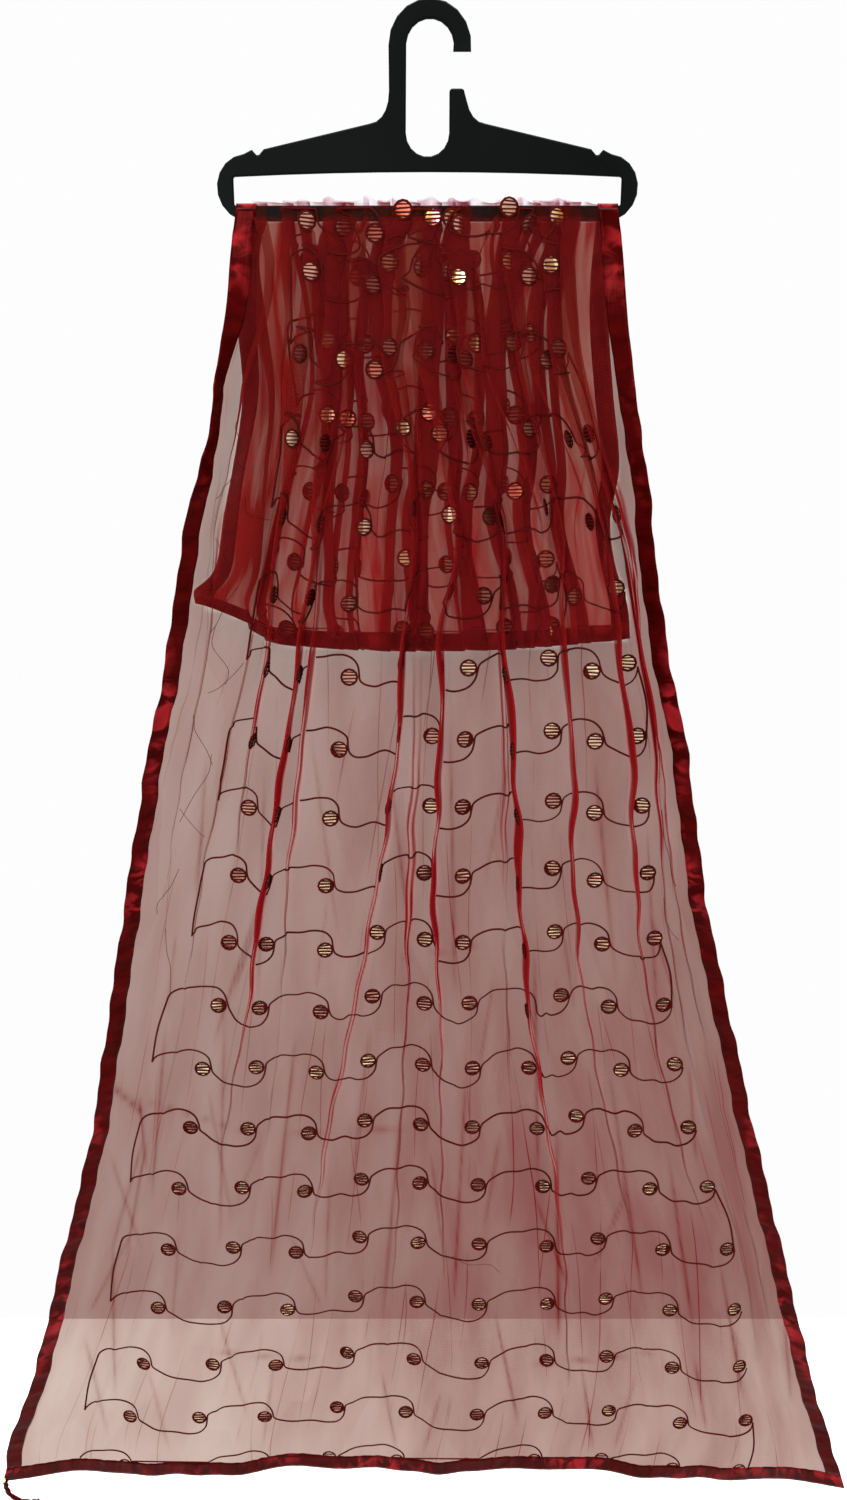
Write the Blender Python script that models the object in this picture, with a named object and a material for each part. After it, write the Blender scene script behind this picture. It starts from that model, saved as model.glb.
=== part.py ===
"""A net dupatta stole with a satin ribbon border, hung over the bar of a moulded hanger.

Metres, +Z up. The origin is the inner top of the hook, where a rail carries the hanger.
+X runs along the hanger's bar, -Y is the side of the long fall, +Y that of the short one.

The stole is one flat rectangle of cloth. A place on it has two lengths: "across", from its left
selvedge, and a height along a fall. At each height the cloth is a row of flat panels with a doubled
fold between each two, and the folds take up what the outline at that height has no room for.
"""
import math

import bmesh
import bpy
from mathutils import Vector

# ------------------------------------------------------------------ the cloth, laid flat
CLOTH_WIDTH = 1.090
RIBBON_WIDTH = 0.019
NET_WALL = 0.0010
RIBBON_WALL = 0.0016
SEAM = 0.0003
EDGE_BEND = 0.004           # cloth beside the ribbon in which a turned selvedge bends back

# ------------------------------------------------------------------ the hanger
HANGER_THICKNESS = 0.005
HANGER_EDGE_ROUND = 0.0012
HANGER_MIDDLE = -0.00225    # x of its middle; the hook's seat is a little to the right of it
HOOK_INNER_RADIUS = 0.022
HOOK_OUTER_RADIUS = 0.0384
HOOK_TIP_Z = -0.027
THROAT_HALF_WIDTH = 0.0204
THROAT_BOTTOM_Z = -0.1157
STEM_HALF_WIDTH = 0.0360
STEM_FOOT_Z = -0.0600
STUB_TOP_Z = -0.0580
STUB_ROUND = 0.003
NECK_SPREAD = 0.0185        # how far the stem flares out before the shoulders start
NECK_DROP = 0.0275
SHOULDER_OUT = 0.1545
SHOULDER_Z = -0.1092
NOTCH_WIDTH = 0.0114
NOTCH_DEPTH = 0.0050
LOBE_OUT = 0.1710           # centre of the round end, from the middle
LOBE_Z = -0.1425
LOBE_RADIUS = 0.0293
SLOT_HALF_LENGTH = 0.1845
SLOT_TOP_MIDDLE_Z = -0.1286
SLOT_TOP_END_Z = -0.1328
SLOT_CORNER = 0.002
BAR_TOP_Z = -0.1580
ARC_STEP = math.radians(20)

# ------------------------------------------------------------------ how the cloth lies on the bar
WRAP_RADIUS = 0.0039        # middle of the innermost layer, about the bar's rounded top
BAR_AXIS_Z = BAR_TOP_Z - HANGER_THICKNESS / 2
WRAP_ANGLES = (-90, -60, -30, 30, 60, 90)
FLAT_LEAN = 165             # degrees: a fold pressed flat to the left over the bar
LONG_SWING = 0.40           # drop within which a fold swings out to its own lean, in front
SHORT_SWING = 0.20          # and behind
GAP_ON_BAR = 0.0016         # between the two legs of a fold
LONG_GAP = 0.0040
SHORT_GAP = 0.0026
OPEN_BASE = 0.014           # width of a fold where it has opened out flat
SHARPNESS = 0.010           # hidden cloth at which a fold has mostly closed
FOLD_CORNER = 0.0012
CORNERS_OF_FOLD = 5
CORNERS_BEFORE_FOLDS = 3

# ------------------------------------------------------------------ the long fall, in front
# height, left and right edge of the outline, and how far each selvedge turns on edge (degrees)
LONG_FALL = (
    # z, left, right, turn_left, turn_right
    (-0.1605, -0.1845, 0.1795, 0, 0),
    (-0.200, -0.1915, 0.1855, 4, 6),
    (-0.250, -0.1970, 0.1905, 18, 20),
    (-0.300, -0.2050, 0.1970, 66, 34),
    (-0.370, -0.2180, 0.2100, 72, 42),
    (-0.420, -0.2350, 0.2190, 48, 44),
    (-0.480, -0.2520, 0.2290, 42, 42),
    (-0.577, -0.2700, 0.2460, 40, 38),
    (-0.695, -0.2990, 0.2750, 38, 36),
    (-0.856, -0.3340, 0.3050, 32, 32),
    (-1.005, -0.3640, 0.3430, 30, 28),
    (-1.162, -0.3970, 0.3860, 28, 22),
    (-1.330, -0.4460, 0.4350, 26, 18),
    (-1.488, -0.4920, 0.4810, 22, 16),
    (-1.600, -0.5360, 0.5200, 10, 8),
    (-1.654, -0.5480, 0.5410, 2, 2),
)
LONG_HEM_Z = -1.654
LONG_HEM_DROP_LEFT = 0.015
LONG_HEM_DROP_RIGHT = 0.029
LONG_ROWS = (-0.172, -0.200, -0.250, -0.300, -0.370, -0.460, -0.577, -0.710, -0.856,
             -1.005, -1.162, -1.330, -1.488, -1.595)
LONG_SWAY = 0.009           # depth of the slow waves at the hem
SWAY_PITCH = 0.31

# ------------------------------------------------------------------ the short fall, behind
SHORT_FALL = (
    # z, left, right, turn_left, turn_right
    (-0.1605, -0.1845, 0.1795, 0, 0),
    (-0.250, -0.1900, 0.1760, 10, 10),
    (-0.330, -0.1880, 0.1840, 30, 14),
    (-0.404, -0.2020, 0.1940, 46, 20),
    (-0.459, -0.2140, 0.1870, 34, 34),
    (-0.510, -0.2210, 0.1950, 30, 40),
    (-0.550, -0.2290, 0.2080, 18, 20),
    (-0.590, -0.2200, 0.2120, 8, 8),
)
SHORT_HEM_Z = -0.590
SHORT_HEM_RISE = 0.014      # the corners hang higher than the middle
SHORT_ROWS = (-0.172, -0.200, -0.250, -0.330, -0.420, -0.500)

# ------------------------------------------------------------------ the folds
# One row a fold: its place across the flat cloth, the cloth it hides at six heights of the long
# fall, the lean it stands at there (degrees; 90 straight out, more leans left), the lean it has on
# the short fall, and its part of that fall's hidden cloth at the short hem, 1 being an even part.
# All lengths in mm. On the bar each fold hides its even part.
FOLD_HEIGHTS = (-0.577, -0.856, -1.005, -1.162, -1.330, -1.488)
FOLDS = (
    # across, thigh, knee, calf, shin, ankle, foot, lean, lean_behind, part_behind
    (50, 22, 15, 17, 22, 14, 14, 98, 146, 0.9),
    (112, 22, 18, 20, 22, 14, 12, 110, 138, 1.2),
    (160, 12, 1, 0, 0, 0, 0, 96, 150, 0.7),
    (207, 50, 50, 37, 18, 8, 3, 118, 136, 1.3),
    (248, 12, 2, 0, 0, 0, 0, 100, 144, 0.8),
    (290, 30, 21, 16, 15, 14, 8, 106, 150, 1.2),
    (336, 12, 2, 0, 0, 0, 0, 94, 140, 0.8),
    (382, 36, 31, 30, 22, 14, 3, 116, 146, 1.0),
    (424, 10, 2, 0, 0, 0, 0, 96, 134, 1.2),
    (465, 33, 31, 28, 20, 12, 3, 104, 142, 0.8),
    (505, 8, 5, 2, 0, 0, 0, 92, 150, 1.1),
    (545, 40, 42, 36, 26, 12, 4, 112, 138, 1.2),
    (592, 12, 3, 0, 0, 0, 0, 94, 146, 0.7),
    (640, 32, 30, 22, 9, 8, 1, 96, 134, 1.3),
    (681, 10, 2, 0, 0, 0, 0, 92, 144, 0.9),
    (723, 36, 38, 46, 38, 20, 12, 74, 152, 1.0),
    (771, 10, 2, 0, 0, 0, 0, 88, 138, 1.2),
    (820, 40, 39, 33, 22, 10, 4, 72, 146, 0.8),
    (873, 8, 1, 0, 0, 0, 0, 86, 136, 1.2),
    (926, 38, 28, 24, 23, 9, 4, 70, 148, 0.8),
    (979, 43, 41, 33, 30, 34, 24, 80, 140, 1.1),
    (1035, 43, 41, 33, 33, 36, 27, 84, 150, 0.9),
)
MM = 0.001

# ------------------------------------------------------------------ the loose end at the left corner
TAIL_RADIUS = 0.0022
TAIL_ROUTE = (               # right of and below the hem's corner
    (0.0024, 0.0003), (0.0026, 0.0110), (0.0054, 0.0205), (0.0114, 0.0280),
    (0.0200, 0.0325), (0.0310, 0.0345), (0.0430, 0.0330),
)
TAIL_SIDES = 8


# ================================================================== small helpers
def clamp(value, low=0.0, high=1.0):
    return max(low, min(high, value))


def ease(value):
    t = clamp(value)
    return t * t * (3 - 2 * t)


def mix(a, b, t):
    return a + (b - a) * t


def read(rows, column, z):
    """A column of a table at height z, on a smooth curve through its rows."""
    if z >= rows[0][0]:
        return rows[0][column]
    if z <= rows[-1][0]:
        return rows[-1][column]
    k = next(i for i in range(len(rows) - 1) if rows[i + 1][0] <= z)

    def slope(i):
        low, high = max(i - 1, 0), min(i + 1, len(rows) - 1)
        return (rows[high][column] - rows[low][column]) / (rows[high][0] - rows[low][0])

    span = rows[k + 1][0] - rows[k][0]
    t = (z - rows[k][0]) / span
    a, b = rows[k][column], rows[k + 1][column]
    return ((1 + 2 * t) * (1 - t) ** 2 * a + t * (1 - t) ** 2 * span * slope(k)
            + t * t * (3 - 2 * t) * b + t * t * (t - 1) * span * slope(k + 1))


# ================================================================== the cloth's cross-section
FOLD_ACROSS = [row[0] * MM for row in FOLDS]
LEAN_COLUMN = 1 + len(FOLD_HEIGHTS)


def even_share(i):
    """The width of flat cloth that lies nearer to fold i than to its neighbours."""
    before = FOLD_ACROSS[i - 1] if i else 0.0
    after = FOLD_ACROSS[i + 1] if i + 1 < len(FOLDS) else CLOTH_WIDTH
    return (after - before) / 2


def hidden_at(z, is_long):
    """How much cloth each fold would like to hide at height z, before it is fitted to the outline."""
    shares = [even_share(i) for i in range(len(FOLDS))]
    if not is_long:
        down = ease((BAR_AXIS_Z - z) / (BAR_AXIS_Z - SHORT_HEM_Z))
        return [share * mix(1, row[-1], down) for share, row in zip(shares, FOLDS)]
    rows = [(BAR_AXIS_Z,) + tuple(shares)]
    rows += [(height,) + tuple(row[1 + k] * MM for row in FOLDS)
             for k, height in enumerate(FOLD_HEIGHTS)]
    rows.append((LONG_HEM_Z,) + tuple(row[len(FOLD_HEIGHTS)] * MM * 0.1 for row in FOLDS))
    return [max(0.0, read(rows, 1 + i, z)) for i in range(len(FOLDS))]


def fold_shape(hidden, lean, gap):
    """The five corners of one fold, as (x, out) about its root, with its length of cloth."""
    tight = 1 - math.exp(-hidden / SHARPNESS)
    base = gap + (OPEN_BASE - gap) * (1 - tight)
    spread = (base - gap) / 2
    height = math.sqrt(hidden * hidden / 4 + hidden * spread)
    angle = math.radians(90 + (lean - 90) * tight)
    cos, sin = math.cos(angle), math.sin(angle)
    up = Vector((cos, sin))
    side = Vector((sin, -cos))
    root = Vector((0, 1.5 * gap * abs(cos)))
    root_left = root - side * base / 2
    root_right = root + side * base / 2
    tip_left = root - side * gap / 2 + up * height
    tip_right = root + side * gap / 2 + up * height
    leg = (tip_left - root_left).normalized()
    heel = Vector((-sin * (base / 2 + FOLD_CORNER), 0))
    return [heel, root_left + leg * FOLD_CORNER * sin, tip_left, tip_right, root_right]


def lengths(points):
    return [(b - a).length for a, b in zip(points, points[1:])]


def lay_out(hidden, leans, gap, turn_left, turn_right):
    """The section's corners, as (x from the left selvedge, out), for given folds."""
    turn = math.radians(turn_left)
    bend_out = EDGE_BEND * math.sin(turn / 2)
    points = [Vector((0, bend_out + RIBBON_WIDTH * math.sin(turn))),
              Vector((RIBBON_WIDTH * math.cos(turn), bend_out))]
    points.append(Vector((points[1].x + EDGE_BEND * math.cos(turn / 2), 0)))
    used = RIBBON_WIDTH + EDGE_BEND
    for across, take, lean in zip(FOLD_ACROSS, hidden, leans):
        shape = fold_shape(take, lean, gap)
        runs = lengths(shape)
        to_tip = runs[0] + runs[1] + runs[2] / 2
        panel = across - to_tip - used
        reach = math.sqrt(max(panel * panel - points[-1].y ** 2, 0)) * (1 if panel > 0 else -1)
        shift = points[-1].x + reach - shape[0].x
        points += [Vector((p.x + shift, p.y)) for p in shape]
        used = across + runs[2] / 2 + runs[3]
    turn = math.radians(turn_right)
    panel = CLOTH_WIDTH - RIBBON_WIDTH - EDGE_BEND - used
    reach = math.sqrt(max(panel * panel - points[-1].y ** 2, 0))
    points.append(Vector((points[-1].x + reach, 0)))
    points.append(points[-1] + Vector((math.cos(turn / 2), math.sin(turn / 2))) * EDGE_BEND)
    points.append(points[-1] + Vector((math.cos(turn), math.sin(turn))) * RIBBON_WIDTH)
    return points


def section(z, is_long):
    """The cloth's corners at height z, as (x, out), fitted between the outline's two edges."""
    rows = LONG_FALL if is_long else SHORT_FALL
    left, right, turn_left, turn_right = (read(rows, column, z) for column in (1, 2, 3, 4))
    swing = ease((BAR_AXIS_Z - z) / (LONG_SWING if is_long else SHORT_SWING))
    lean_column = LEAN_COLUMN if is_long else LEAN_COLUMN + 1
    leans = [mix(FLAT_LEAN, row[lean_column], swing) for row in FOLDS]
    gap = mix(GAP_ON_BAR, LONG_GAP if is_long else SHORT_GAP, swing)
    wishes = hidden_at(z, is_long)
    low, high = 0.0, 3.0
    for _ in range(40):
        scale = (low + high) / 2
        points = lay_out([wish * scale for wish in wishes], leans, gap, turn_left, turn_right)
        if points[-1].x > right - left:
            low = scale
        else:
            high = scale
    return [Vector((left + p.x, p.y)) for p in points]


def place_long(point, share, z):
    """A section corner of the long fall in the room; share is 0 at the left selvedge, 1 at the right."""
    down = clamp((BAR_AXIS_Z - z) / (BAR_AXIS_Z - LONG_HEM_Z))
    sway = LONG_SWAY * ease((down - 0.25) / 0.75)
    y = -WRAP_RADIUS - point.y - sway * (1 + math.sin(2 * math.pi * (point.x / SWAY_PITCH + 0.2)))
    side = 2 * share - 1
    drop = (LONG_HEM_DROP_LEFT if side < 0 else LONG_HEM_DROP_RIGHT) * side * side * down ** 3
    return Vector((point.x, y, z - drop))


def place_short(point, share, z):
    down = clamp((BAR_AXIS_Z - z) / (BAR_AXIS_Z - SHORT_HEM_Z))
    side = 2 * share - 1
    rise = SHORT_HEM_RISE * side * side * down ** 3
    return Vector((point.x, WRAP_RADIUS + point.y, z + rise))


def place_over_bar(point, angle):
    """A section corner on the bar, at an angle from straight up towards the short fall."""
    a = math.radians(angle)
    radius = WRAP_RADIUS + point.y
    return Vector((point.x, radius * math.sin(a), BAR_AXIS_Z + radius * math.cos(a)))


# ================================================================== walls made from sections
def faces_of_wall(points, wall):
    """The outer and the inner line of a wall of this thickness along a whole section."""
    outer, inner = [], []
    for k, point in enumerate(points):
        before = (point - points[k - 1]).normalized() if k else None
        after = (points[k + 1] - point).normalized() if k + 1 < len(points) else None
        along = ((before or after) + (after or before)).normalized()
        normal = Vector((-along.y, along.x))
        flat = after or before
        stretch = 1 / max(normal.dot(Vector((-flat.y, flat.x))), 0.5)
        outer.append(point + normal * wall / 2 * stretch)
        inner.append(point - normal * wall / 2 * stretch)
    return outer, inner


def cut_out(line, points, first, last, start_cut, end_cut):
    """Corners first..last of a wall's line, with a cut taken off each end for the seam."""
    part = [p.copy() for p in line[first:last + 1]]
    part[0] += (points[first + 1] - points[first]).normalized() * start_cut
    part[-1] += (points[last - 1] - points[last]).normalized() * end_cut
    return part


def stretch_rows(stretch):
    """The rows of one stretch of cloth, each as (section corners, a function that places a point)."""
    if stretch == "top":
        corners = section(BAR_AXIS_Z, True)
        return [(corners, lambda p, share, a=angle: place_over_bar(p, a)) for angle in WRAP_ANGLES]
    is_long = stretch == "front"
    place = place_long if is_long else place_short
    heights = (BAR_AXIS_Z - SEAM,) + (LONG_ROWS if is_long else SHORT_ROWS)
    hem_z = LONG_HEM_Z if is_long else SHORT_HEM_Z
    heights += (hem_z + RIBBON_WIDTH + SEAM,)
    return [(section(z, is_long), lambda p, share, h=z: place(p, share, h)) for z in heights]


def hem_rows(is_long):
    place = place_long if is_long else place_short
    hem_z = LONG_HEM_Z if is_long else SHORT_HEM_Z
    return [(section(z, is_long), lambda p, share, h=z: place(p, share, h))
            for z in (hem_z + RIBBON_WIDTH, hem_z)]


def build_wall(name, rows, first, last, cuts, wall, material):
    """A closed wall of cloth through rows of sections, from corner first to corner last of each."""
    bm = bmesh.new()
    sheets = []
    for side in (0, 1):
        sheet = []
        for corners, place in rows:
            left, width = corners[0].x, corners[-1].x - corners[0].x
            line = cut_out(faces_of_wall(corners, wall)[side], corners, first, last, *cuts)
            sheet.append([bm.verts.new(place(p, (p.x - left) / width)) for p in line])
        sheets.append(sheet)
    for sheet in sheets:
        for upper, lower in zip(sheet, sheet[1:]):
            for k in range(last - first):
                split_quad(bm, upper, lower, k, is_returning_leg(first + k))
    outer, inner = sheets
    for row in (0, -1):
        for k in range(last - first):
            bm.faces.new((outer[row][k], outer[row][k + 1], inner[row][k + 1], inner[row][k]))
    for k in (0, -1):
        for row in range(len(rows) - 1):
            bm.faces.new((outer[row][k], outer[row + 1][k], inner[row + 1][k], inner[row][k]))
    return finish_mesh(name, bm, material)


def is_returning_leg(segment):
    """Whether a section's segment runs from a fold's tip back to its root."""
    inside = segment - CORNERS_BEFORE_FOLDS
    return inside >= 0 and inside % CORNERS_OF_FOLD == 3


def split_quad(bm, upper, lower, k, is_returning):
    """Two triangles, cut from root above to tip below on both legs of a fold, so they keep apart."""
    if is_returning:
        bm.faces.new((upper[k], lower[k], upper[k + 1]))
        bm.faces.new((upper[k + 1], lower[k], lower[k + 1]))
    else:
        bm.faces.new((upper[k], lower[k], lower[k + 1]))
        bm.faces.new((upper[k], lower[k + 1], upper[k + 1]))


def finish_mesh(name, bm, material, smooth=True):
    bmesh.ops.recalc_face_normals(bm, faces=bm.faces)
    if bm.calc_volume(signed=True) < 0:
        bmesh.ops.reverse_faces(bm, faces=bm.faces)
    mesh = bpy.data.meshes.new(name)
    bm.to_mesh(mesh)
    bm.free()
    mesh.materials.append(material)
    if smooth:
        mesh.shade_smooth()
        mesh.set_sharp_from_angle(angle=math.radians(50))
    obj = bpy.data.objects.new(name, mesh)
    bpy.context.scene.collection.objects.link(obj)
    return obj


# ================================================================== the hanger
def arc(centre_x, centre_z, radius, start, end):
    """Points on an arc from start to end (degrees, anticlockwise from +X)."""
    a, b = math.radians(start), math.radians(end)
    steps = max(2, math.ceil(abs(b - a) / ARC_STEP))
    return [(centre_x + radius * math.cos(mix(a, b, k / steps)),
             centre_z + radius * math.sin(mix(a, b, k / steps))) for k in range(steps + 1)]


def neck_curve(side):
    """The hollow curve from the stem's foot out to where the shoulder starts."""
    points = []
    for k in range(6):
        t = k / 5
        x = STEM_HALF_WIDTH + NECK_SPREAD * t ** 1.9
        z = STEM_FOOT_Z - NECK_DROP * (1 - (1 - t) ** 1.7)
        points.append((HANGER_MIDDLE + side * x, z))
    return points


def shoulder(side):
    """From the neck out to the round end, with the strap notch near it."""
    m = HANGER_MIDDLE
    out = SHOULDER_OUT
    return [(m + side * out, SHOULDER_Z),
            (m + side * (out + NOTCH_WIDTH * 0.42), SHOULDER_Z - NOTCH_DEPTH),
            (m + side * (out + NOTCH_WIDTH * 0.62), SHOULDER_Z - NOTCH_DEPTH),
            (m + side * (out + NOTCH_WIDTH), SHOULDER_Z - 0.0005)]


def hanger_outline():
    """The hanger's outer edge, anticlockwise, starting at the hook's tip."""
    m = HANGER_MIDDLE
    hook_z = -HOOK_INNER_RADIUS
    tip_drop = math.degrees(math.asin((hook_z - HOOK_TIP_Z) / HOOK_INNER_RADIUS))
    tip_drop_outer = math.degrees(math.asin((hook_z - HOOK_TIP_Z) / HOOK_OUTER_RADIUS))
    points = arc(0, hook_z, HOOK_OUTER_RADIUS, -tip_drop_outer, 180)
    points += neck_curve(-1)
    points += shoulder(-1)
    points += arc(m - LOBE_OUT, LOBE_Z, LOBE_RADIUS, 95, 270)
    points += arc(m + LOBE_OUT, LOBE_Z, LOBE_RADIUS, -90, 85)
    points += reversed(shoulder(1))
    points += reversed(neck_curve(1)[1:])
    stub_right = m + STEM_HALF_WIDTH - 0.0015
    stub_left = m + THROAT_HALF_WIDTH
    points += arc(stub_right - STUB_ROUND, STUB_TOP_Z - STUB_ROUND, STUB_ROUND, 0, 90)
    points += arc(stub_left + STUB_ROUND, STUB_TOP_Z - STUB_ROUND, STUB_ROUND, 90, 180)
    points += arc(m, THROAT_BOTTOM_Z + THROAT_HALF_WIDTH, THROAT_HALF_WIDTH, 0, -180)
    points += arc(0, hook_z, HOOK_INNER_RADIUS, 175, -tip_drop)
    return points


def slot_outline():
    """The long slot between the hanger's body and its bar."""
    m, half, r = HANGER_MIDDLE, SLOT_HALF_LENGTH, SLOT_CORNER
    top_steps = 8
    points = []
    for k in range(top_steps + 1):
        t = 2 * k / top_steps - 1
        z = mix(SLOT_TOP_MIDDLE_Z, SLOT_TOP_END_Z, t * t)
        points.append((m + t * (half - r), z))
    points += arc(m + half - r, SLOT_TOP_END_Z - r, r, 60, 0)
    points += arc(m + half - r, BAR_TOP_Z + r, r, 0, -90)
    points += arc(m - half + r, BAR_TOP_Z + r, r, -90, -180)
    points += arc(m - half + r, SLOT_TOP_END_Z - r, r, 180, 120)
    return points


def build_hanger(material):
    bm = bmesh.new()
    rim = []
    for outline in (hanger_outline(), slot_outline()):
        verts = [bm.verts.new((x, -HANGER_THICKNESS / 2, z)) for x, z in outline]
        rim += [bm.edges.new((a, b)) for a, b in zip(verts, verts[1:] + verts[:1])]
    bmesh.ops.triangle_fill(bm, edges=rim, use_beauty=True, use_dissolve=False)
    front = list(bm.faces)
    grown = bmesh.ops.extrude_face_region(bm, geom=front)
    back = [item for item in grown["geom"] if isinstance(item, bmesh.types.BMVert)]
    bmesh.ops.translate(bm, verts=back, vec=(0, HANGER_THICKNESS, 0))
    bmesh.ops.recalc_face_normals(bm, faces=bm.faces)
    corners = [e for e in bm.edges if e.calc_face_angle(0) > math.radians(80)
               and abs(e.verts[0].co.y - e.verts[1].co.y) < HANGER_THICKNESS / 2]
    bmesh.ops.bevel(bm, geom=corners, offset=HANGER_EDGE_ROUND, offset_type="OFFSET", segments=1,
                    profile=0.5, affect="EDGES", material=-1, clamp_overlap=False)
    return finish_mesh("hanger", bm, material)


# ================================================================== the loose ribbon end
def build_tail(material):
    """The rolled free end of the border ribbon, curling below the long hem's left corner."""
    corner = place_long(section(LONG_HEM_Z, True)[0], 0, LONG_HEM_Z)
    route = [corner + Vector((right, 0, -below)) for right, below in TAIL_ROUTE]
    bm = bmesh.new()
    rings = []
    for k, point in enumerate(route):
        ahead = (route[min(k + 1, len(route) - 1)] - route[max(k - 1, 0)]).normalized()
        side = Vector((0, 1, 0))
        up = ahead.cross(side)
        radius = TAIL_RADIUS * (0.7 if k in (0, len(route) - 1) else 1.0)
        rings.append([bm.verts.new(point + radius * (side * math.cos(a) + up * math.sin(a)))
                      for a in (2 * math.pi * n / TAIL_SIDES for n in range(TAIL_SIDES))])
    for near, far in zip(rings, rings[1:]):
        for n in range(TAIL_SIDES):
            nxt = (n + 1) % TAIL_SIDES
            bm.faces.new((near[n], near[nxt], far[nxt], far[n]))
    bm.faces.new(rings[0])
    bm.faces.new(rings[-1])
    return finish_mesh("ribbon_tail", bm, material)


# ================================================================== the whole part
def make_material(name, colour, roughness):
    material = bpy.data.materials.new(name)
    material.use_nodes = True
    surface = material.node_tree.nodes["Principled BSDF"]
    surface.inputs["Base Color"].default_value = (*colour, 1)
    surface.inputs["Roughness"].default_value = roughness
    surface.inputs["Metallic"].default_value = 0.0
    return material


def clear_scene():
    for obj in list(bpy.data.objects):
        bpy.data.objects.remove(obj, do_unlink=True)


def main():
    clear_scene()
    net = make_material("maroon net", (0.19, 0.012, 0.016), 0.75)
    satin = make_material("maroon satin ribbon", (0.16, 0.004, 0.008), 0.35)
    plastic = make_material("black moulded plastic", (0.010, 0.011, 0.012), 0.45)

    build_hanger(plastic)
    last = 2 * CORNERS_BEFORE_FOLDS + CORNERS_OF_FOLD * len(FOLDS) - 1
    half_seam = (SEAM / 2, SEAM / 2)
    for stretch in ("front", "top", "back"):
        rows = stretch_rows(stretch)
        build_wall(f"net_{stretch}", rows, 1, last - 1, half_seam, NET_WALL, net)
        build_wall(f"ribbon_{stretch}_left", rows, 0, 1, (0, SEAM / 2), RIBBON_WALL, satin)
        build_wall(f"ribbon_{stretch}_right", rows, last - 1, last, (SEAM / 2, 0), RIBBON_WALL, satin)
    build_wall("hem_front", hem_rows(True), 0, last, (0, 0), RIBBON_WALL, satin)
    build_wall("hem_back", hem_rows(False), 0, last, (0, 0), RIBBON_WALL, satin)
    build_tail(satin)


main()
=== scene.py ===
"""Looks of a net dupatta stole over the bar of a moulded hanger.

Sheer net with a satin ribbon border, and rows of sequin dots joined by a stitched vine. Metres, +Z
up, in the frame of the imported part. The stole is one flat rectangle: "across" runs from its left
selvedge, and a height runs down a fall. Its flat panels have a doubled fold between each two.
"""
import math
import random

import bmesh
import bpy
import numpy as np
from mathutils import Matrix, Vector


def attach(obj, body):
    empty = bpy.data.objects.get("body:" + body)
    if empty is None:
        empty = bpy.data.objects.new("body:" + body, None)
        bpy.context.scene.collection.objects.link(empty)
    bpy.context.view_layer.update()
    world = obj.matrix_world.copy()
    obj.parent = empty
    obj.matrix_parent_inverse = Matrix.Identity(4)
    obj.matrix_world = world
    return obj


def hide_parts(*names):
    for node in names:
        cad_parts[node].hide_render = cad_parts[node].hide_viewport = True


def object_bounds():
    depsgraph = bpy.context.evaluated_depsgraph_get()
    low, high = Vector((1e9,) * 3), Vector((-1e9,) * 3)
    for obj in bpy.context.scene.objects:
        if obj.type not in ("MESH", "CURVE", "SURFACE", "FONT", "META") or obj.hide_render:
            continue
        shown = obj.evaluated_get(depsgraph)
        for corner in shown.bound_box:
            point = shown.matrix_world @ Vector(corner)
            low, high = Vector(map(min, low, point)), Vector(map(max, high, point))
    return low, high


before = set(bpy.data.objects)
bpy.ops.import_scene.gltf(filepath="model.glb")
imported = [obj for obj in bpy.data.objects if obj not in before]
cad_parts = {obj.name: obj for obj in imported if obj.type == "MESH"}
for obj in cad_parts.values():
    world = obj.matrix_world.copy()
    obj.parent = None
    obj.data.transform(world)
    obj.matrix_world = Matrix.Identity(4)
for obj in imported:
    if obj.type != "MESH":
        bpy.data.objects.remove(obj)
cad_low, cad_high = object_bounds()

MM = 0.001

# ------------------------------------------------------------------ the cloth, laid flat
CLOTH_WIDTH = 1.090
RIBBON_WIDTH = 0.019
RIBBON_THICKNESS = 0.0011
EDGE_BEND = 0.004           # cloth beside the ribbon in which a turned selvedge bends back
NET_IN_RIBBON = 0.002       # net that lies inside the ribbon's fold

# ------------------------------------------------------------------ how it lies on the bar
WRAP_RADIUS = 0.0039
BAR_AXIS_Z = -0.1605
FLAT_PER_DEGREE = 0.08 * MM     # flat cloth for a degree round the bar, as its patterns are laid
FLAT_LEAN = 171             # degrees: a fold pressed flat to the left over the bar
LONG_SWING = 0.40           # drop within which a fold swings out to its own lean, in front
SHORT_SWING = 0.20          # and behind
PRESSED_ON_BAR = 0.55       # share of their thickness that the folds keep on the bar
PRESSED_DROP = 0.06         # drop below it over which they take up the rest
GAP_ON_BAR = 0.0016         # between the two legs of a fold
LONG_GAP = 0.0024
SHORT_GAP = 0.0026
OPEN_BASE = 0.014           # width of a crisp fold where it has opened out flat
SOFT_BASE = 0.036           # and of a soft one
SHARPNESS = 0.010           # hidden cloth at which a fold has mostly closed
FOLD_CORNER = 0.0012
ROOT_LIFT = 1.5             # gaps by which a fold pressed flat lifts its own root
CORNERS_BEFORE_FOLDS = 3
CORNERS_OF_FOLD = 5
STANDING_RUNS = (1, 3)      # of a fold's runs, the ones from its left leg to its right leg

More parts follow.
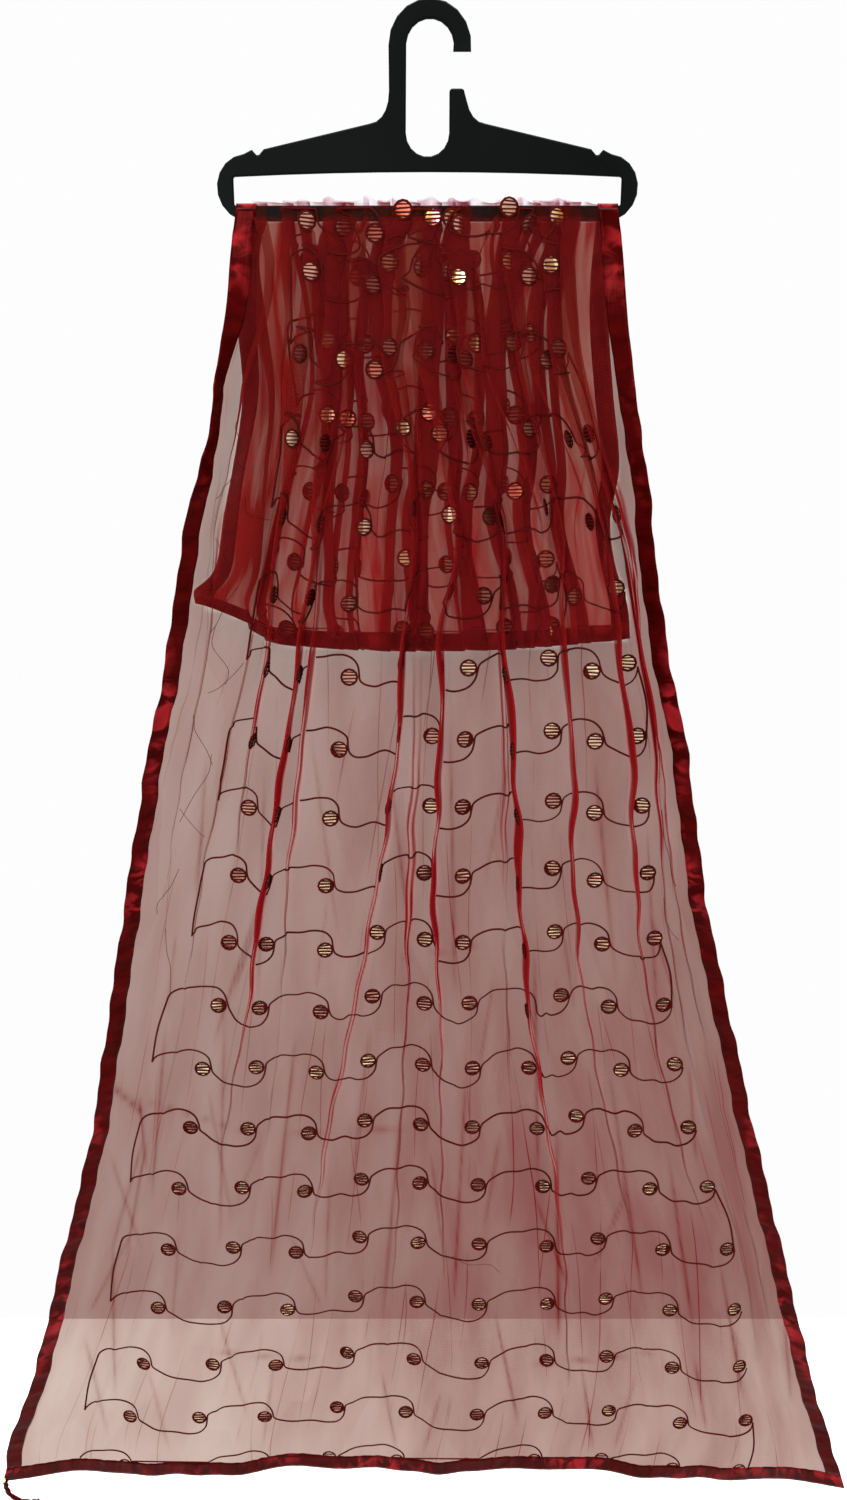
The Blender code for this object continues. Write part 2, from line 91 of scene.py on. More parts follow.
# ------------------------------------------------------------------ the long fall, in front
LONG_FALL = (
    # z, left, right, turn_left, turn_right (degrees that each selvedge stands on edge)
    (-0.1605, -0.1845, 0.1795, 0, 0),
    (-0.200, -0.1915, 0.1855, 4, 6),
    (-0.250, -0.1970, 0.1905, 18, 20),
    (-0.300, -0.2050, 0.1970, 66, 34),
    (-0.370, -0.2180, 0.2100, 72, 42),
    (-0.420, -0.2350, 0.2190, 48, 44),
    (-0.480, -0.2520, 0.2290, 42, 42),
    (-0.577, -0.2700, 0.2460, 40, 38),
    (-0.695, -0.2990, 0.2750, 38, 36),
    (-0.856, -0.3340, 0.3050, 32, 32),
    (-1.005, -0.3640, 0.3430, 30, 28),
    (-1.162, -0.3970, 0.3860, 28, 22),
    (-1.330, -0.4460, 0.4350, 26, 18),
    (-1.488, -0.4920, 0.4810, 22, 16),
    (-1.600, -0.5360, 0.5200, 10, 8),
    (-1.654, -0.5480, 0.5410, 2, 2),
)
LONG_HEM_Z = -1.654
LONG_HEM_DROP_LEFT = 0.015
LONG_HEM_DROP_RIGHT = 0.029
LONG_SWAY = 0.004           # depth of the slow waves at the hem
SWAY_PITCH = 0.31
SWAY_SHIFT = 0.2            # of a wave, to the left
SWAY_FROM = 0.25            # share of the drop above which the fall doesn't sway
HEM_WAVE = 0.0011
HEM_WAVE_FROM = 0.9         # share of the drop, and the share over which its small waves grow
HEM_WAVE_FADE = 0.1
HEM_WAVE_LENGTHS = (0.0123, 0.051, 0.0207)  # small, the change of its spacing, wide, for a radian
EDGE_WAVES = ((0.127, 0.0009), (0.067, 0.0007), (0.037, 0.0006))    # the selvedges': pitch, depth
EDGE_WAVE_REACH = 0.16      # share of half the width in which they die away
EDGE_WAVES_FROM = 0.05      # share of the drop, and the share over which they grow
EDGE_WAVES_FADE = 0.1
TURN = 6.3                  # radians, about a whole turn: the spread of a wave's start

# ------------------------------------------------------------------ the short fall, behind
SHORT_FALL = (
    # z, left, right, turn_left, turn_right
    (-0.1605, -0.1845, 0.1795, 0, 0),
    (-0.250, -0.1900, 0.1760, 10, 10),
    (-0.330, -0.1880, 0.1840, 30, 14),
    (-0.404, -0.2020, 0.1940, 46, 20),
    (-0.459, -0.2140, 0.1870, 34, 34),
    (-0.510, -0.2210, 0.1950, 30, 40),
    (-0.550, -0.2290, 0.2080, 18, 20),
    (-0.590, -0.2200, 0.2120, 8, 8),
)
SHORT_HEM_Z = -0.590
SHORT_HEM_RISE = 0.014
FLICK_AWAY = (-0.026, 0.004, 0.036)     # how the short fall's left corner is flicked out
FLICK_ACROSS = 0.060
FLICK_UP = 0.048

# ------------------------------------------------------------------ the folds
# Place across at the thigh and how far it has moved by the ankle; the cloth hidden on the bar and at
# seven heights of the long fall; how crisply it is pressed and the height from which it is only a
# thin crease; its lean above that (90 straight out); the part of its cloth that is hidden at the
# short fall's hem. In millimetres.
FOLD_HEIGHTS = (-0.360, -0.577, -0.856, -1.005, -1.162, -1.330, -1.488)
THIGH, ANKLE = 1, 5
FOLDS = (
    # across, moved, bar, hip, thigh, knee, calf, shin, ankle, foot, crisp, thin, lean, part_behind
    (50, 0, 40, 14, 12, 6, 3, 2, 2, 2, 0.7, -560, 94, 0.9),
    (108, 0, 30, 18, 16, 9, 6, 5, 5, 4, 0.8, -600, 96, 1.3),
    (154, 0, 34, 42, 36, 3, 0, 0, 0, 0, 1.0, -760, 94, 0.6),
    (230, -26, 56, 52, 42, 44, 24, 8, 3, 0, 1.0, -1070, 98, 1.0),
    (284, -14, 44, 38, 38, 18, 6, 6, 5, 4, 0.9, -900, 97, 0.8),
    (330, -26, 20, 20, 4, 0, 0, 0, 0, 0, 0.6, -700, 94, 1.5),
    (376, -50, 34, 28, 4, 0, 0, 0, 0, 0, 0.6, -700, 94, 0.7),
    (434, -80, 48, 50, 54, 32, 19, 13, 7, 0, 1.0, -1310, 98, 1.2),
    (480, -8, 30, 26, 8, 26, 16, 12, 9, 2, 0.7, -1000, 96, 0.8),
    (543, 0, 62, 66, 62, 42, 26, 15, 9, 2, 1.0, -1060, 100, 1.1),
    (597, 0, 26, 26, 0, 0, 0, 0, 0, 0, 0.6, -700, 92, 1.4),
    (648, 5, 54, 50, 26, 8, 11, 2, 1, 2, 0.9, -920, 84, 0.8),
    (694, 20, 44, 52, 58, 58, 35, 27, 15, 8, 1.0, -1340, 84, 1.1),
    (757, 0, 22, 22, 2, 0, 0, 0, 0, 0, 0.6, -700, 88, 0.8),
    (810, 8, 50, 50, 41, 34, 21, 13, 5, 4, 1.0, -990, 84, 1.1),
    (862, 0, 24, 22, 0, 0, 0, 0, 0, 0, 0.6, -700, 86, 1.4),
    (914, 8, 50, 50, 48, 26, 14, 12, 4, 3, 1.0, -960, 85, 0.8),
    (950, 6, 20, 18, 0, 0, 0, 0, 0, 0, 0.6, -700, 86, 1.2),
    (988, 0, 36, 38, 46, 20, 7, 4, 5, 3, 0.9, -860, 92, 1.0),
    (1036, 0, 44, 38, 46, 17, 6, 3, 5, 3, 0.9, -640, 98, 0.9),
)
MOVED_COLUMN = 1
BAR_COLUMN = 2
CRISP_COLUMN = BAR_COLUMN + len(FOLD_HEIGHTS) + 1
LEAN_COLUMN = CRISP_COLUMN + 2
FADE = 0.14                 # drop over which a fold becomes a thin crease
THIN_GAP = 0.0008
THIN_BASE = 0.0018          # width of a thin crease where it has opened out flat
FOLD_TWIST = 5.0            # degrees by which a fold's lean changes back and forth down its length
WOBBLE = 0.0013             # how far the creases wobble across, below the thigh
ROOM_TO_VIEW = 1.18         # thin creases stand towards this far in front of the stole
FOOT_AT_HEM = 0.1           # share of the foot's hidden cloth that is left at the long hem
WANDER = 0.0085             # how far the folds wander across, from the bar down to the thigh
UNEVEN_HOLD = 0.30          # and how unevenly they hide cloth there
FREE_DROP = 0.05            # drop below the bar over which they begin to
THIGH_FADE = 0.15           # and above the thigh over which they stop
WOBBLE_FADE = 0.1           # share of the way from the thigh to the ankle over which they wobble
# Lengths of those changes down the cloth, for a radian each.
WANDER_LENGTH, HOLD_LENGTH, TWIST_LENGTH = 0.115, 0.095, 0.024
WOBBLE_LENGTHS = (0.023, 0.0117)
WANDER_BEHIND, HOLD_BEHIND = 0.125, 0.088
FOLD_NUMBERS = np.arange(len(FOLDS))    # a fold's number sets its phase, so neighbours sway apart
# How far the net draws together in its own plane, in gathers finer than the ones drawn: its width as
# a share of its flat width, left of the dots, among them and right of them.
DRAWN_TOGETHER = (
    # z, left, middle, right
    (-0.600, 1.00, 1.000, 1.00), (-0.856, 0.82, 0.962, 0.64), (-1.005, 0.79, 0.870, 0.52),
    (-1.162, 0.75, 0.895, 0.50), (-1.330, 0.85, 0.940, 0.46), (-1.488, 0.89, 0.985, 0.62),
    (-1.580, 0.93, 1.025, 0.72), (-1.654, 1.00, 1.000, 0.98),
)
LEAN_BEHIND = 144
SHIFT_BEHIND = 0.016        # how far the folds wander across, behind
SHIFT_LENGTH = 0.085        # across the cloth, for a radian
SHIFT_DROP = 0.10
CRISP_FROM = 100            # degrees of lean from which a soft fold is pressed flat
CRISP_LEAN = 60             # and over how many it is, towards the bar
MOST_HIDDEN = 3.0           # times the wished cloth that the folds may hide to fit the outline
HALVINGS = 40
# Three slow waves in the net. A length is for a radian.
BENT_WAVE = (0.0011, 0.021, 2.3, 0.17)      # depth, length across, how far it bends, length down
SLANT_WAVE = (0.0009, 0.047, 0.083, 0.7)    # depth, length across, length down, start
CROSS_WAVE = (0.0006, 0.064, 0.029)         # depth, length across, length down
BENT_FADE, WAVES_FADE = 0.3, 0.12           # drops below the bar over which they grow

# ------------------------------------------------------------------ how finely the cloth is drawn
COLUMNS = 436               # 2.5 mm of cloth each
LONG_STEPS = 200
SHORT_STEPS = 64
TOP_STEPS = 16
NEAR_BAR = 0.022            # the drop below the bar's axis that is drawn more finely
NEAR_BAR_STEPS = 12
# The fold's deeper colour is a painted glow: a fold is drawn brighter than the net beside it.
FULL_FOLD = 0.012           # height from which a fold shows at its deepest colour

# Share of the view that one layer of net covers. Where two falls hang together the front one is drawn
# open and the one behind it dense, so that the embroidery behind shows through. On the bar, where many
# layers lie on one another, each covers little.
# The changes of cover to the right, downwards and near the hem are painted light and shade: the net is
# drawn denser and so darker to the right and further down, and clearer and so lighter against the floor.
LIGHTEST_COVER = 0.715      # of a layer alone against the pale room, at its left
COVER_TO_RIGHT = 0.09       # more, over LIGHT_WIDTH from LIGHT_FROM_X on
LIGHT_FROM_X = -0.25
LIGHT_WIDTH = 0.30
COVER_DOWN = 0.06           # more, over LIGHT_DROP from LIGHT_FROM_Z down
LIGHT_FROM_Z = -0.65
LIGHT_DROP = 0.60
LESS_AT_HEM = 0.035         # less, over FLOOR_DROP from FLOOR_FROM_Z down, against the pale floor
FLOOR_FROM_Z = -1.42
FLOOR_DROP = 0.12
# Painted shade: the net is drawn denser and so darker along the pressed creases, so that they show.
COVER_ON_CREASE = 0.075     # more on a crease 1 mm high, over this share of its width
CREASE_SHARE = 0.24
CREASE_END = 0.25           # share of a crease's length over which it fades at each end
COVER_IN_FRONT = 0.50       # of the long fall, before the short one
COVER_IN_FOLD = 0.39        # and there in its doubled folds, which the dots behind shine through
OVERLAP_FADE = 0.012        # over which the long fall opens, at the short one's edges
COVER_BEHIND = 0.885        # of the short fall
# Painted shade: beside the short fall's left ribbon its net is drawn denser and barely lit, and the long
# fall's net before it is drawn dim.
COVER_BUNCHED = 0.94        # where it is bunched beside its left ribbon, and barely lit
BUNCHED_WIDTH, BUNCHED_FADE = 0.085, 0.05
SHADED_WIDTH, SHADED_FADE = 0.075, 0.04     # the long fall's dim part, before that bunch
COVER_ON_BAR = 0.05
COVER_AT_TOP = 0.50         # where it lies close on the top of the bar
TOP_ABOVE, TOP_FADE = 0.0026, 0.001         # height above the bar's axis of that part
PUFFED_OUT, PUFFED_FADE = 0.0012, 0.0016    # beyond the wrap's radius, where the net is puffed up
BAR_FOOT_Z = -0.1718
FOOT_ABOVE, FOOT_FADE = 0.005, 0.006        # from this much above it down, the net lies off the bar
COVER_ON_RIBBON = 0.45      # over the short fall's ribbons, behind
RIBBON_COLUMNS = 8
HEM_RIBBON_BAND = (0.003, 0.017, 0.005)     # above the short hem: from, to, fade
RIBBON_FADE, RIBBON_END_FADE = 0.003, 0.006     # at a selvedge ribbon's sides and at its foot
RIBBON_SEEN_DROP, RIBBON_SEEN_FADE = 0.06, 0.05     # below the bar, from where it shows
NEARER_BY = 0.978           # the front net lies nearer, so it is seen against things behind it here
# Painted light: how brightly the net among other layers is drawn, brighter towards the short fall's hem.
LIT_HIGH = 0.12             # how brightly net among other layers is lit, near the bar
LIT_LOW = 0.64              # and at the short fall's hem
LIT_FROM_Z, LIT_RISE = -0.52, 0.32      # from this height up, over this rise
FACING_GAIN = 1.60          # net turned edge on covers more, from this much of it facing
LEAST_FACING = 0.30         # to this much

# Net puffed up over the bar: middle, height and half width, in mm.
RUFFLES = (
    (-118, 2.2, 6), (-96, 3.6, 5), (-61, 4.2, 8), (-36, 2.4, 4), (2, 4.6, 6), (21, 2.4, 4),
    (43, 3.8, 7), (68, 2.0, 5), (87, 4.4, 6), (122, 2.6, 6), (146, 1.6, 6),
)

# Creases pressed into the net while it was stored: ends (x, z), height and half width, in mm.
LONG_CREASES = (
    # x, z, x, z, height, half_width
    (-238, -690, -262, -905, 1.6, 7), (-176, -700, -196, -1010, 1.4, 6),
    (-128, -660, -100, -930, 1.2, 6), (-44, -700, -22, -905, 1.4, 8),
    (22, -640, 30, -1005, 1.6, 7), (60, -860, 96, -640, 1.1, 6),
    (118, -905, 132, -1250, 1.6, 8), (176, -690, 214, -980, 1.4, 7),
    (236, -760, 262, -1020, 1.3, 6), (-300, -1010, -332, -1262, 1.7, 8),
    (-232, -990, -254, -1330, 1.5, 7), (-150, -1010, -196, -1380, 1.8, 8),
    (-66, -1010, -92, -1240, 1.3, 6), (-30, -1100, -58, -1440, 1.6, 8),
    (44, -1060, 30, -1430, 1.5, 7), (150, -1130, 164, -1490, 1.7, 8),
    (206, -1060, 268, -1420, 1.4, 7), (282, -1180, 330, -1450, 1.5, 7),
    (-382, -1300, -398, -1560, 1.6, 8), (-262, -1400, -226, -1580, 1.3, 7),
    (80, -1400, 118, -1600, 1.5, 7), (352, -1330, 402, -1560, 1.4, 7),
    (-344, -1112, -190, -1168, 1.2, 6), (-190, -1168, 10, -1150, 1.0, 6),
    (-40, -940, 70, -918, 1.0, 5), (96, -1500, 300, -1470, 1.1, 7),
    (-300, -1462, -120, -1490, 1.2, 7), (-30, -420, -48, -560, 1.2, 5),
    (96, -330, 116, -540, 1.1, 5), (-130, -300, -142, -520, 1.2, 5),
    (-384, -1084, -328, -1136, 2.0, 16), (-337, -1104, -334, -1214, 1.9, 6),
    (-330, -1162, -370, -1344, 1.9, 6), (-354, -1288, -424, -1424, 1.6, 6),
    (-172, -836, -224, -986, 2.0, 7), (-184, -856, -252, -1056, 1.8, 6),
)
FINE_CREASES = (
    (-380, -1180, -345, -1330, 1.3, 7), (-330, -1150, -392, -1345, 1.5, 7),
    (-300, -1290, -318, -1440, 1.2, 7), (-196, -1168, -232, -1260, 1.0, 6),
    (-258, -1090, -236, -1290, 1.2, 7), (-172, -1290, -128, -1420, 1.1, 7),
    (-118, -1210, -128, -1420, 1.2, 7), (2, -1180, 18, -1330, 1.2, 6),
    (86, -1150, 66, -1300, 1.3, 6), (124, -1240, 176, -1390, 1.1, 7),
    (238, -1240, 196, -1360, 1.1, 7), (300, -1060, 318, -1210, 1.3, 7),
    (-430, -1440, -410, -1610, 1.4, 8), (-352, -1490, -330, -1625, 1.2, 7),
    (-190, -1470, -214, -1630, 1.1, 7), (-60, -1490, -40, -1630, 1.3, 7),
    (18, -1520, -8, -1630, 1.1, 7), (190, -1480, 214, -1640, 1.2, 7),
    (262, -1500, 238, -1630, 1.2, 7), (330, -1470, 356, -1600, 1.3, 7),
    (440, -1420, 462, -1560, 1.3, 8), (-282, -900, -300, -1010, 1.2, 6),
    (-246, -780, -262, -860, 1.0, 6), (150, -900, 168, -1010, 1.1, 6),
    (246, -880, 284, -1000, 1.2, 6), (74, -960, 58, -1080, 1.2, 6),
    (-112, -860, -130, -990, 1.1, 6),
)
SHORT_CREASES = (
    (-120, -260, -142, -520, 1.2, 5), (-52, -300, -40, -560, 1.1, 5),
    (40, -240, 62, -500, 1.3, 6), (118, -300, 104, -540, 1.2, 5),
    (-160, -420, -60, -450, 0.8, 5), (30, -480, 150, -462, 0.8, 5),
)

# ------------------------------------------------------------------ the ribbons
RIBBON_STEPS = 8            # across a selvedge ribbon
HEM_STEPS = 7               # across a hem's
HEM_COLUMNS = 545           # along it, 2 mm each
LONG_RIBBON_ROWS = 420
SHORT_RIBBON_ROWS = 130
TOP_RIBBON_ROWS = 19
PUCKER_LENGTHS = (0.043, 0.027, 0.017, 0.011)
PUCKER_SPREAD = (0.85, 1.15)    # by which those lengths differ from ribbon to ribbon
PUCKER_BEND = 0.06          # length in which their spacing changes, for a radian
PUCKER_DRIFT = 1.7          # radians by which it does
PUCKER_SIZE = 0.0007
BACK_HEM_PUCKER = 0.0002
OUTER_PUCKER = 0.35         # share of it at the outer edge, against the sewn one

# ------------------------------------------------------------------ the embroidery
DOT_FIRST_ACROSS = 0.158
DOT_PITCH = 0.0875
DOTS_IN_ROW = 10
DOT_RADIUS = 0.0094
DOT_SNAP = 0.014            # how far a dot may move to lie flat on a panel or on a fold's leg
SNAP_BEHIND = 0.030         # and behind, where only the panels face the front
PANEL_OUT = 0.005           # a panel stands out less than this
DOT_UNEVEN = (0, -4, -11, 8, 3, 0, -5, 11, -3, 5)   # how unevenly a row's dots hang, in mm
LONG_FIRST_ROW = -1.640
LONG_ROW_PITCH = 0.0778
LONG_ROW_EASE = 0.023       # how much further apart the lowest rows are, in all
LONG_ROWS = 20
LOWEST_TOP_ROW = -0.172     # the row nearest to the bar stays below it
SHORT_FIRST_ROW = -0.5705
SHORT_ROW_PITCH = 0.0735
SHORT_ROWS = 6
THREAD_RADIUS = 0.0011
VINE_LIFT = 0.0009
RING_LIFT = 0.0010
SEQUIN_LIFT = 0.0013
TURN_AMONG = 0.40           # how far a dot is turned aside among the layers, as a slope
TURN_ALONE = 0.12           # and below them
DOT_STRAY = 2               # mm by which a dot misses its place
ROWS_TO_EASE = 5            # over this many rows the spacing eases
ROWS_TO_EVEN = 4            # and over this many the rows grow as uneven as the upper ones
LEAST_UNEVEN = 0.3          # share of it in the lowest row
UNEVEN_BEHIND = 0.6
NARROW_COST = 0.5           # how much a place too narrow for a dot counts as further off
STRAIGHT_ON = 0.98          # cosine of the bend below which two runs are one
ACROSS_DOT = 0.45           # share of a dot's radius at which its slope is read
RING_TILT, SEQUIN_TILT = 2, 4   # degrees by which they tip at random
UNDER_RIBBON = 0.0010       # dots of the lowest row are partly sewn inside the hem's ribbon
# The vine comes over each dot to its right side and leaves from there to the other side: along from
# the dot's centre, and up for odd dots or down for even ones, in mm.
VINE_ARRIVES = ((-30, 22.0), (-14, 24.5), (0, 21.0), (7.5, 13.0), (9.8, 3.5))
VINE_LEAVES = ((11.5, -3.5), (20, -8.5), (34, -14.0))
VINE_MEETS = (0.0, 0.1, 0.45)   # how far each of those points gives way to the next dot's height
VINE_STARTS = ((-58, 9.0), (-54, 15.0), (-45, 19.5))
VINE_SWELL = 0.0009         # how unevenly the vine is sewn
VINE_NEAR_DOT = 0.011       # nearer than this the vine keeps its shape where the cloth is drawn in
LEVEL_ROWS_BELOW = -0.93    # rows below this run on over the creases
ON_A_FOLD = 0.15
INSIDE_A_FOLD = 0.85
VINE_FREE = (20, 10)        # mm along and up from a dot at which it is sewn at its most uneven
THREAD_STEP = 0.0028
JUMP_LEFT, JUMP_RIGHT = -0.003, 0.005   # how far a jump from row to row bends out
STITCH_BARS = ((0.0055, 0.0012), (0.0020, 0.0014), (-0.0016, 0.0013), (-0.0052, 0.0012))
RING_WIDTH = 0.0012
RING_FLATNESS = 0.6
RING_STEPS = 12
BAR_STRAY, BAR_TILT = 3, 5  # tenths of a mm and degrees by which a bar is sewn out of place
BAR_THICKNESS, BAR_LIFT = 0.0007, 0.0009
SEQUIN_INSIDE = 0.0016      # the sequin is smaller than its ring by this
SEQUIN_RIM, SEQUIN_CUP = 0.0034, -0.0007
# Painted light and shade: among the layers most sequins are dark and a few pale gold as glints; below them
# all are paler.
SPANGLED = 2.2              # power that leaves few bright sequins among the layers
TONES_ALONE = (0.40, 0.82)  # and the range of their tones below them

# ------------------------------------------------------------------ the loose ribbon end
TAIL_ROUTE = (               # right of and below the hem's corner
    (0.0024, 0.0003), (0.0026, 0.0110), (0.0054, 0.0205), (0.0114, 0.0280),
    (0.0200, 0.0325), (0.0310, 0.0345), (0.0430, 0.0330),
)
TAIL_RADIUS = 0.0032
TAIL_STEP = 0.0015
TAIL_SWELL, SWELL_DOWN, SWELL_ACROSS = 0.22, 900, 700
TAIL_FLATNESS = 0.25
TAIL_UV, TAIL_UV_SPREAD = 0.009, 0.003      # the part of the satin's width that shows on it
FIBRES = 9
FIBRE_RADIUS = 0.0003
FIBRE_REACH = ((0.005, 0.012), (-0.003, 0.003), (-0.001, 0.005))
BEAD_RADIUS = 0.0034
BEAD_SHAPE = (0.75, 0.6, 1.5)
BEAD_PLACE = (0.0018, -0.0030, 0.0050)      # from the hem's corner

LOOSE_THREADS = (
    # across, height, run across, run down, in mm: fine hairs that lie on the net
    (38, -350, 26, 60), (52, -392, -18, 46), (70, -430, 34, 30), (44, -470, 30, 70),
    (78, -520, -30, 52), (60, -560, 22, 64), (96, -600, -40, 36), (48, -655, 36, 60),
    (84, -700, -20, 72), (58, -760, 40, 34), (70, -830, -34, 60), (64, -900, 18, 74),
    (1020, -430, -20, 60), (1008, -760, 26, 80), (980, -860, 30, 60), (560, -1330, 60, 20),
)
LOOSE_RADIUS, LOOSE_LIFT = 0.00028, 0.0009
LOOSE_BENDS = (0.35, 0.7, 1.0)
LOOSE_STRAY = (9, 7)        # mm across and down by which a bend misses its place
LOOSE_STEP, FIBRE_STEP = 0.003, 0.002

# ------------------------------------------------------------------ camera, light and floor
CAMERA_PLACE = (-0.006, -1.1776, -0.383)
CAMERA_TILT = 14.9          # degrees down
CAMERA_LENS = 27.12
ROOM_STRENGTH = 0.985
LIGHTS = (
    # name, place, aimed at, size, power
    ("key", (-0.60, -2.4, 0.20), (-0.05, 0, -0.6), 0.5, 46),
    ("fill", (1.9, -1.8, -0.2), (0, 0, -0.9), 1.6, 6),
    ("overhead", (0, 0.2, 2.3), (0, -0.2, -1.8), 2.6, 190),
)
FLOOR_SIZE = 6.0
FLOOR_BELOW = 0.15          # below the lowest point of the stole
FLOOR_BACK_EDGE = 0.48      # how far behind the stole the floor ends

chance = random.Random(7)


# ================================================================== the cloth's cross-section
def ease(value):
    t = np.clip(value, 0.0, 1.0)
    return t * t * (3 - 2 * t)


def mix(a, b, t):
    return a + (b - a) * t


def below_bar(z, drop):
    """0 at the bar's axis, 1 from that drop down."""
    return ease((BAR_AXIS_Z - z) / drop)


def above_thigh(z):
    """How far the folds wander at height z: not on the bar, nor from the thigh down."""
    return below_bar(z, FREE_DROP) * ease((z - FOLD_HEIGHTS[THIGH]) / THIGH_FADE)


def places_along(lengths):
    return np.concatenate(([0.0], np.cumsum(lengths)))


def curve_between(a, b, slope_a, slope_b, span, t):
    """The smooth curve from a to b with those slopes, at share t of the span."""
    return ((1 + 2 * t) * (1 - t) ** 2 * a + t * (1 - t) ** 2 * span * slope_a
            + t * t * (3 - 2 * t) * b + t * t * (t - 1) * span * slope_b)


def read(rows, column, z):
    """A column of a table at height z, on a smooth curve through its rows."""
    if z >= rows[0][0]:
        return rows[0][column]
    if z <= rows[-1][0]:
        return rows[-1][column]
    k = next(i for i in range(len(rows) - 1) if rows[i + 1][0] <= z)

    def slope(i):
        low, high = max(i - 1, 0), min(i + 1, len(rows) - 1)
        return (rows[high][column] - rows[low][column]) / (rows[high][0] - rows[low][0])

    span = rows[k + 1][0] - rows[k][0]
    share = (z - rows[k][0]) / span
    return curve_between(rows[k][column], rows[k + 1][column], slope(k), slope(k + 1), span, share)


def fold_column(column):
    return np.array([row[column] for row in FOLDS])


def folds_across(z, is_long):
    """The place of each fold's middle across the flat cloth, at height z."""
    across = fold_column(0) * MM
    phases = 2.4 * FOLD_NUMBERS
    if not is_long:
        return (across + SHIFT_BEHIND * np.sin(across / SHIFT_LENGTH) * below_bar(z, SHIFT_DROP)
                + WANDER * np.sin(phases + z / WANDER_BEHIND) * below_bar(z, FREE_DROP))
    down = ease((FOLD_HEIGHTS[THIGH] - z) / (FOLD_HEIGHTS[THIGH] - FOLD_HEIGHTS[ANKLE]))
    slow, quick = WOBBLE_LENGTHS
    wobble = np.sin(phases + z / slow) + np.sin(1.7 * phases - z / quick)
    return (across + fold_column(MOVED_COLUMN) * MM * down + WOBBLE * wobble * ease(down / WOBBLE_FADE)
            + WANDER * np.sin(1.3 * phases - z / WANDER_LENGTH) * above_thigh(z))


def hidden_at(z, is_long):
    """How much cloth each fold would like to hide at height z, before it is fitted to the outline."""
    on_bar = fold_column(BAR_COLUMN) * MM
    phases = 1.7 * FOLD_NUMBERS
    if not is_long:
        down = below_bar(z, BAR_AXIS_Z - SHORT_HEM_Z)
        uneven = UNEVEN_HOLD * np.sin(phases - z / HOLD_BEHIND) * below_bar(z, FREE_DROP)
        return on_bar * mix(1, fold_column(-1), down) * (1 + uneven)
    rows = [(BAR_AXIS_Z,) + tuple(on_bar)]
    rows += [(height,) + tuple(fold_column(BAR_COLUMN + 1 + k) * MM)
             for k, height in enumerate(FOLD_HEIGHTS)]
    rows.append((LONG_HEM_Z,) + tuple(fold_column(BAR_COLUMN + len(FOLD_HEIGHTS)) * MM * FOOT_AT_HEM))
    uneven = UNEVEN_HOLD * np.sin(1.4 * phases + z / HOLD_LENGTH) * above_thigh(z)
    return np.array([max(0.0, read(rows, 1 + i, z)) for i in range(len(FOLDS))]) * (1 + uneven)


def drawn_places(z, is_long):
    """Flat places across the cloth, and where each of them comes once the net is drawn together."""
    border = RIBBON_WIDTH + EDGE_BEND
    last_dot = DOT_FIRST_ACROSS + (DOTS_IN_ROW - 1) * DOT_PITCH
    flat = np.array((0, border, DOT_FIRST_ACROSS, last_dot, CLOTH_WIDTH - border, CLOTH_WIDTH))
    shares = [read(DRAWN_TOGETHER, column, z) if is_long else 1 for column in (1, 2, 3)]
    return flat, places_along(np.diff(flat) * (1, *shares, 1))


def fold_shapes(hidden, crisp, lean, gap, thin):
    """The five corners of every fold, as (x, out) about its root, and how high each stands."""
    pressed = mix(crisp, 1, np.clip((lean - CRISP_FROM) / CRISP_LEAN, 0, 1))
    tight = (1 - np.exp(-hidden / SHARPNESS)) * pressed
    softness = (1 - crisp) * np.clip(hidden / SHARPNESS, 0, 1)
    open_base = mix(mix(OPEN_BASE, SOFT_BASE, softness), THIN_BASE, thin)
    base = gap + (open_base - gap) * (1 - tight)
    height = np.sqrt(hidden * hidden / 4 + hidden * (base - gap) / 2)
    angle = np.radians(90 + (lean - 90) * tight)
    cos, sin = np.cos(angle), np.sin(angle)
    up = np.stack((cos, sin), -1)
    side = np.stack((sin, -cos), -1)
    gap = gap[:, None]
    root = np.stack((0 * cos, ROOT_LIFT * gap[:, 0] * abs(cos)), -1)
    root_left = root - side * base[:, None] / 2
    root_right = root + side * base[:, None] / 2
    tip_left = root - side * gap / 2 + up * height[:, None]
    tip_right = root + side * gap / 2 + up * height[:, None]
    leg = tip_left - root_left
    length = np.linalg.norm(leg, axis=1)
    leg /= length[:, None]
    heel = np.stack((-sin * (base / 2 + FOLD_CORNER), 0 * sin), -1)
    near_root = root_left + leg * (np.minimum(FOLD_CORNER, length / 2) * sin)[:, None]
    return np.stack((heel, near_root, tip_left, tip_right, root_right), 1), height * tight


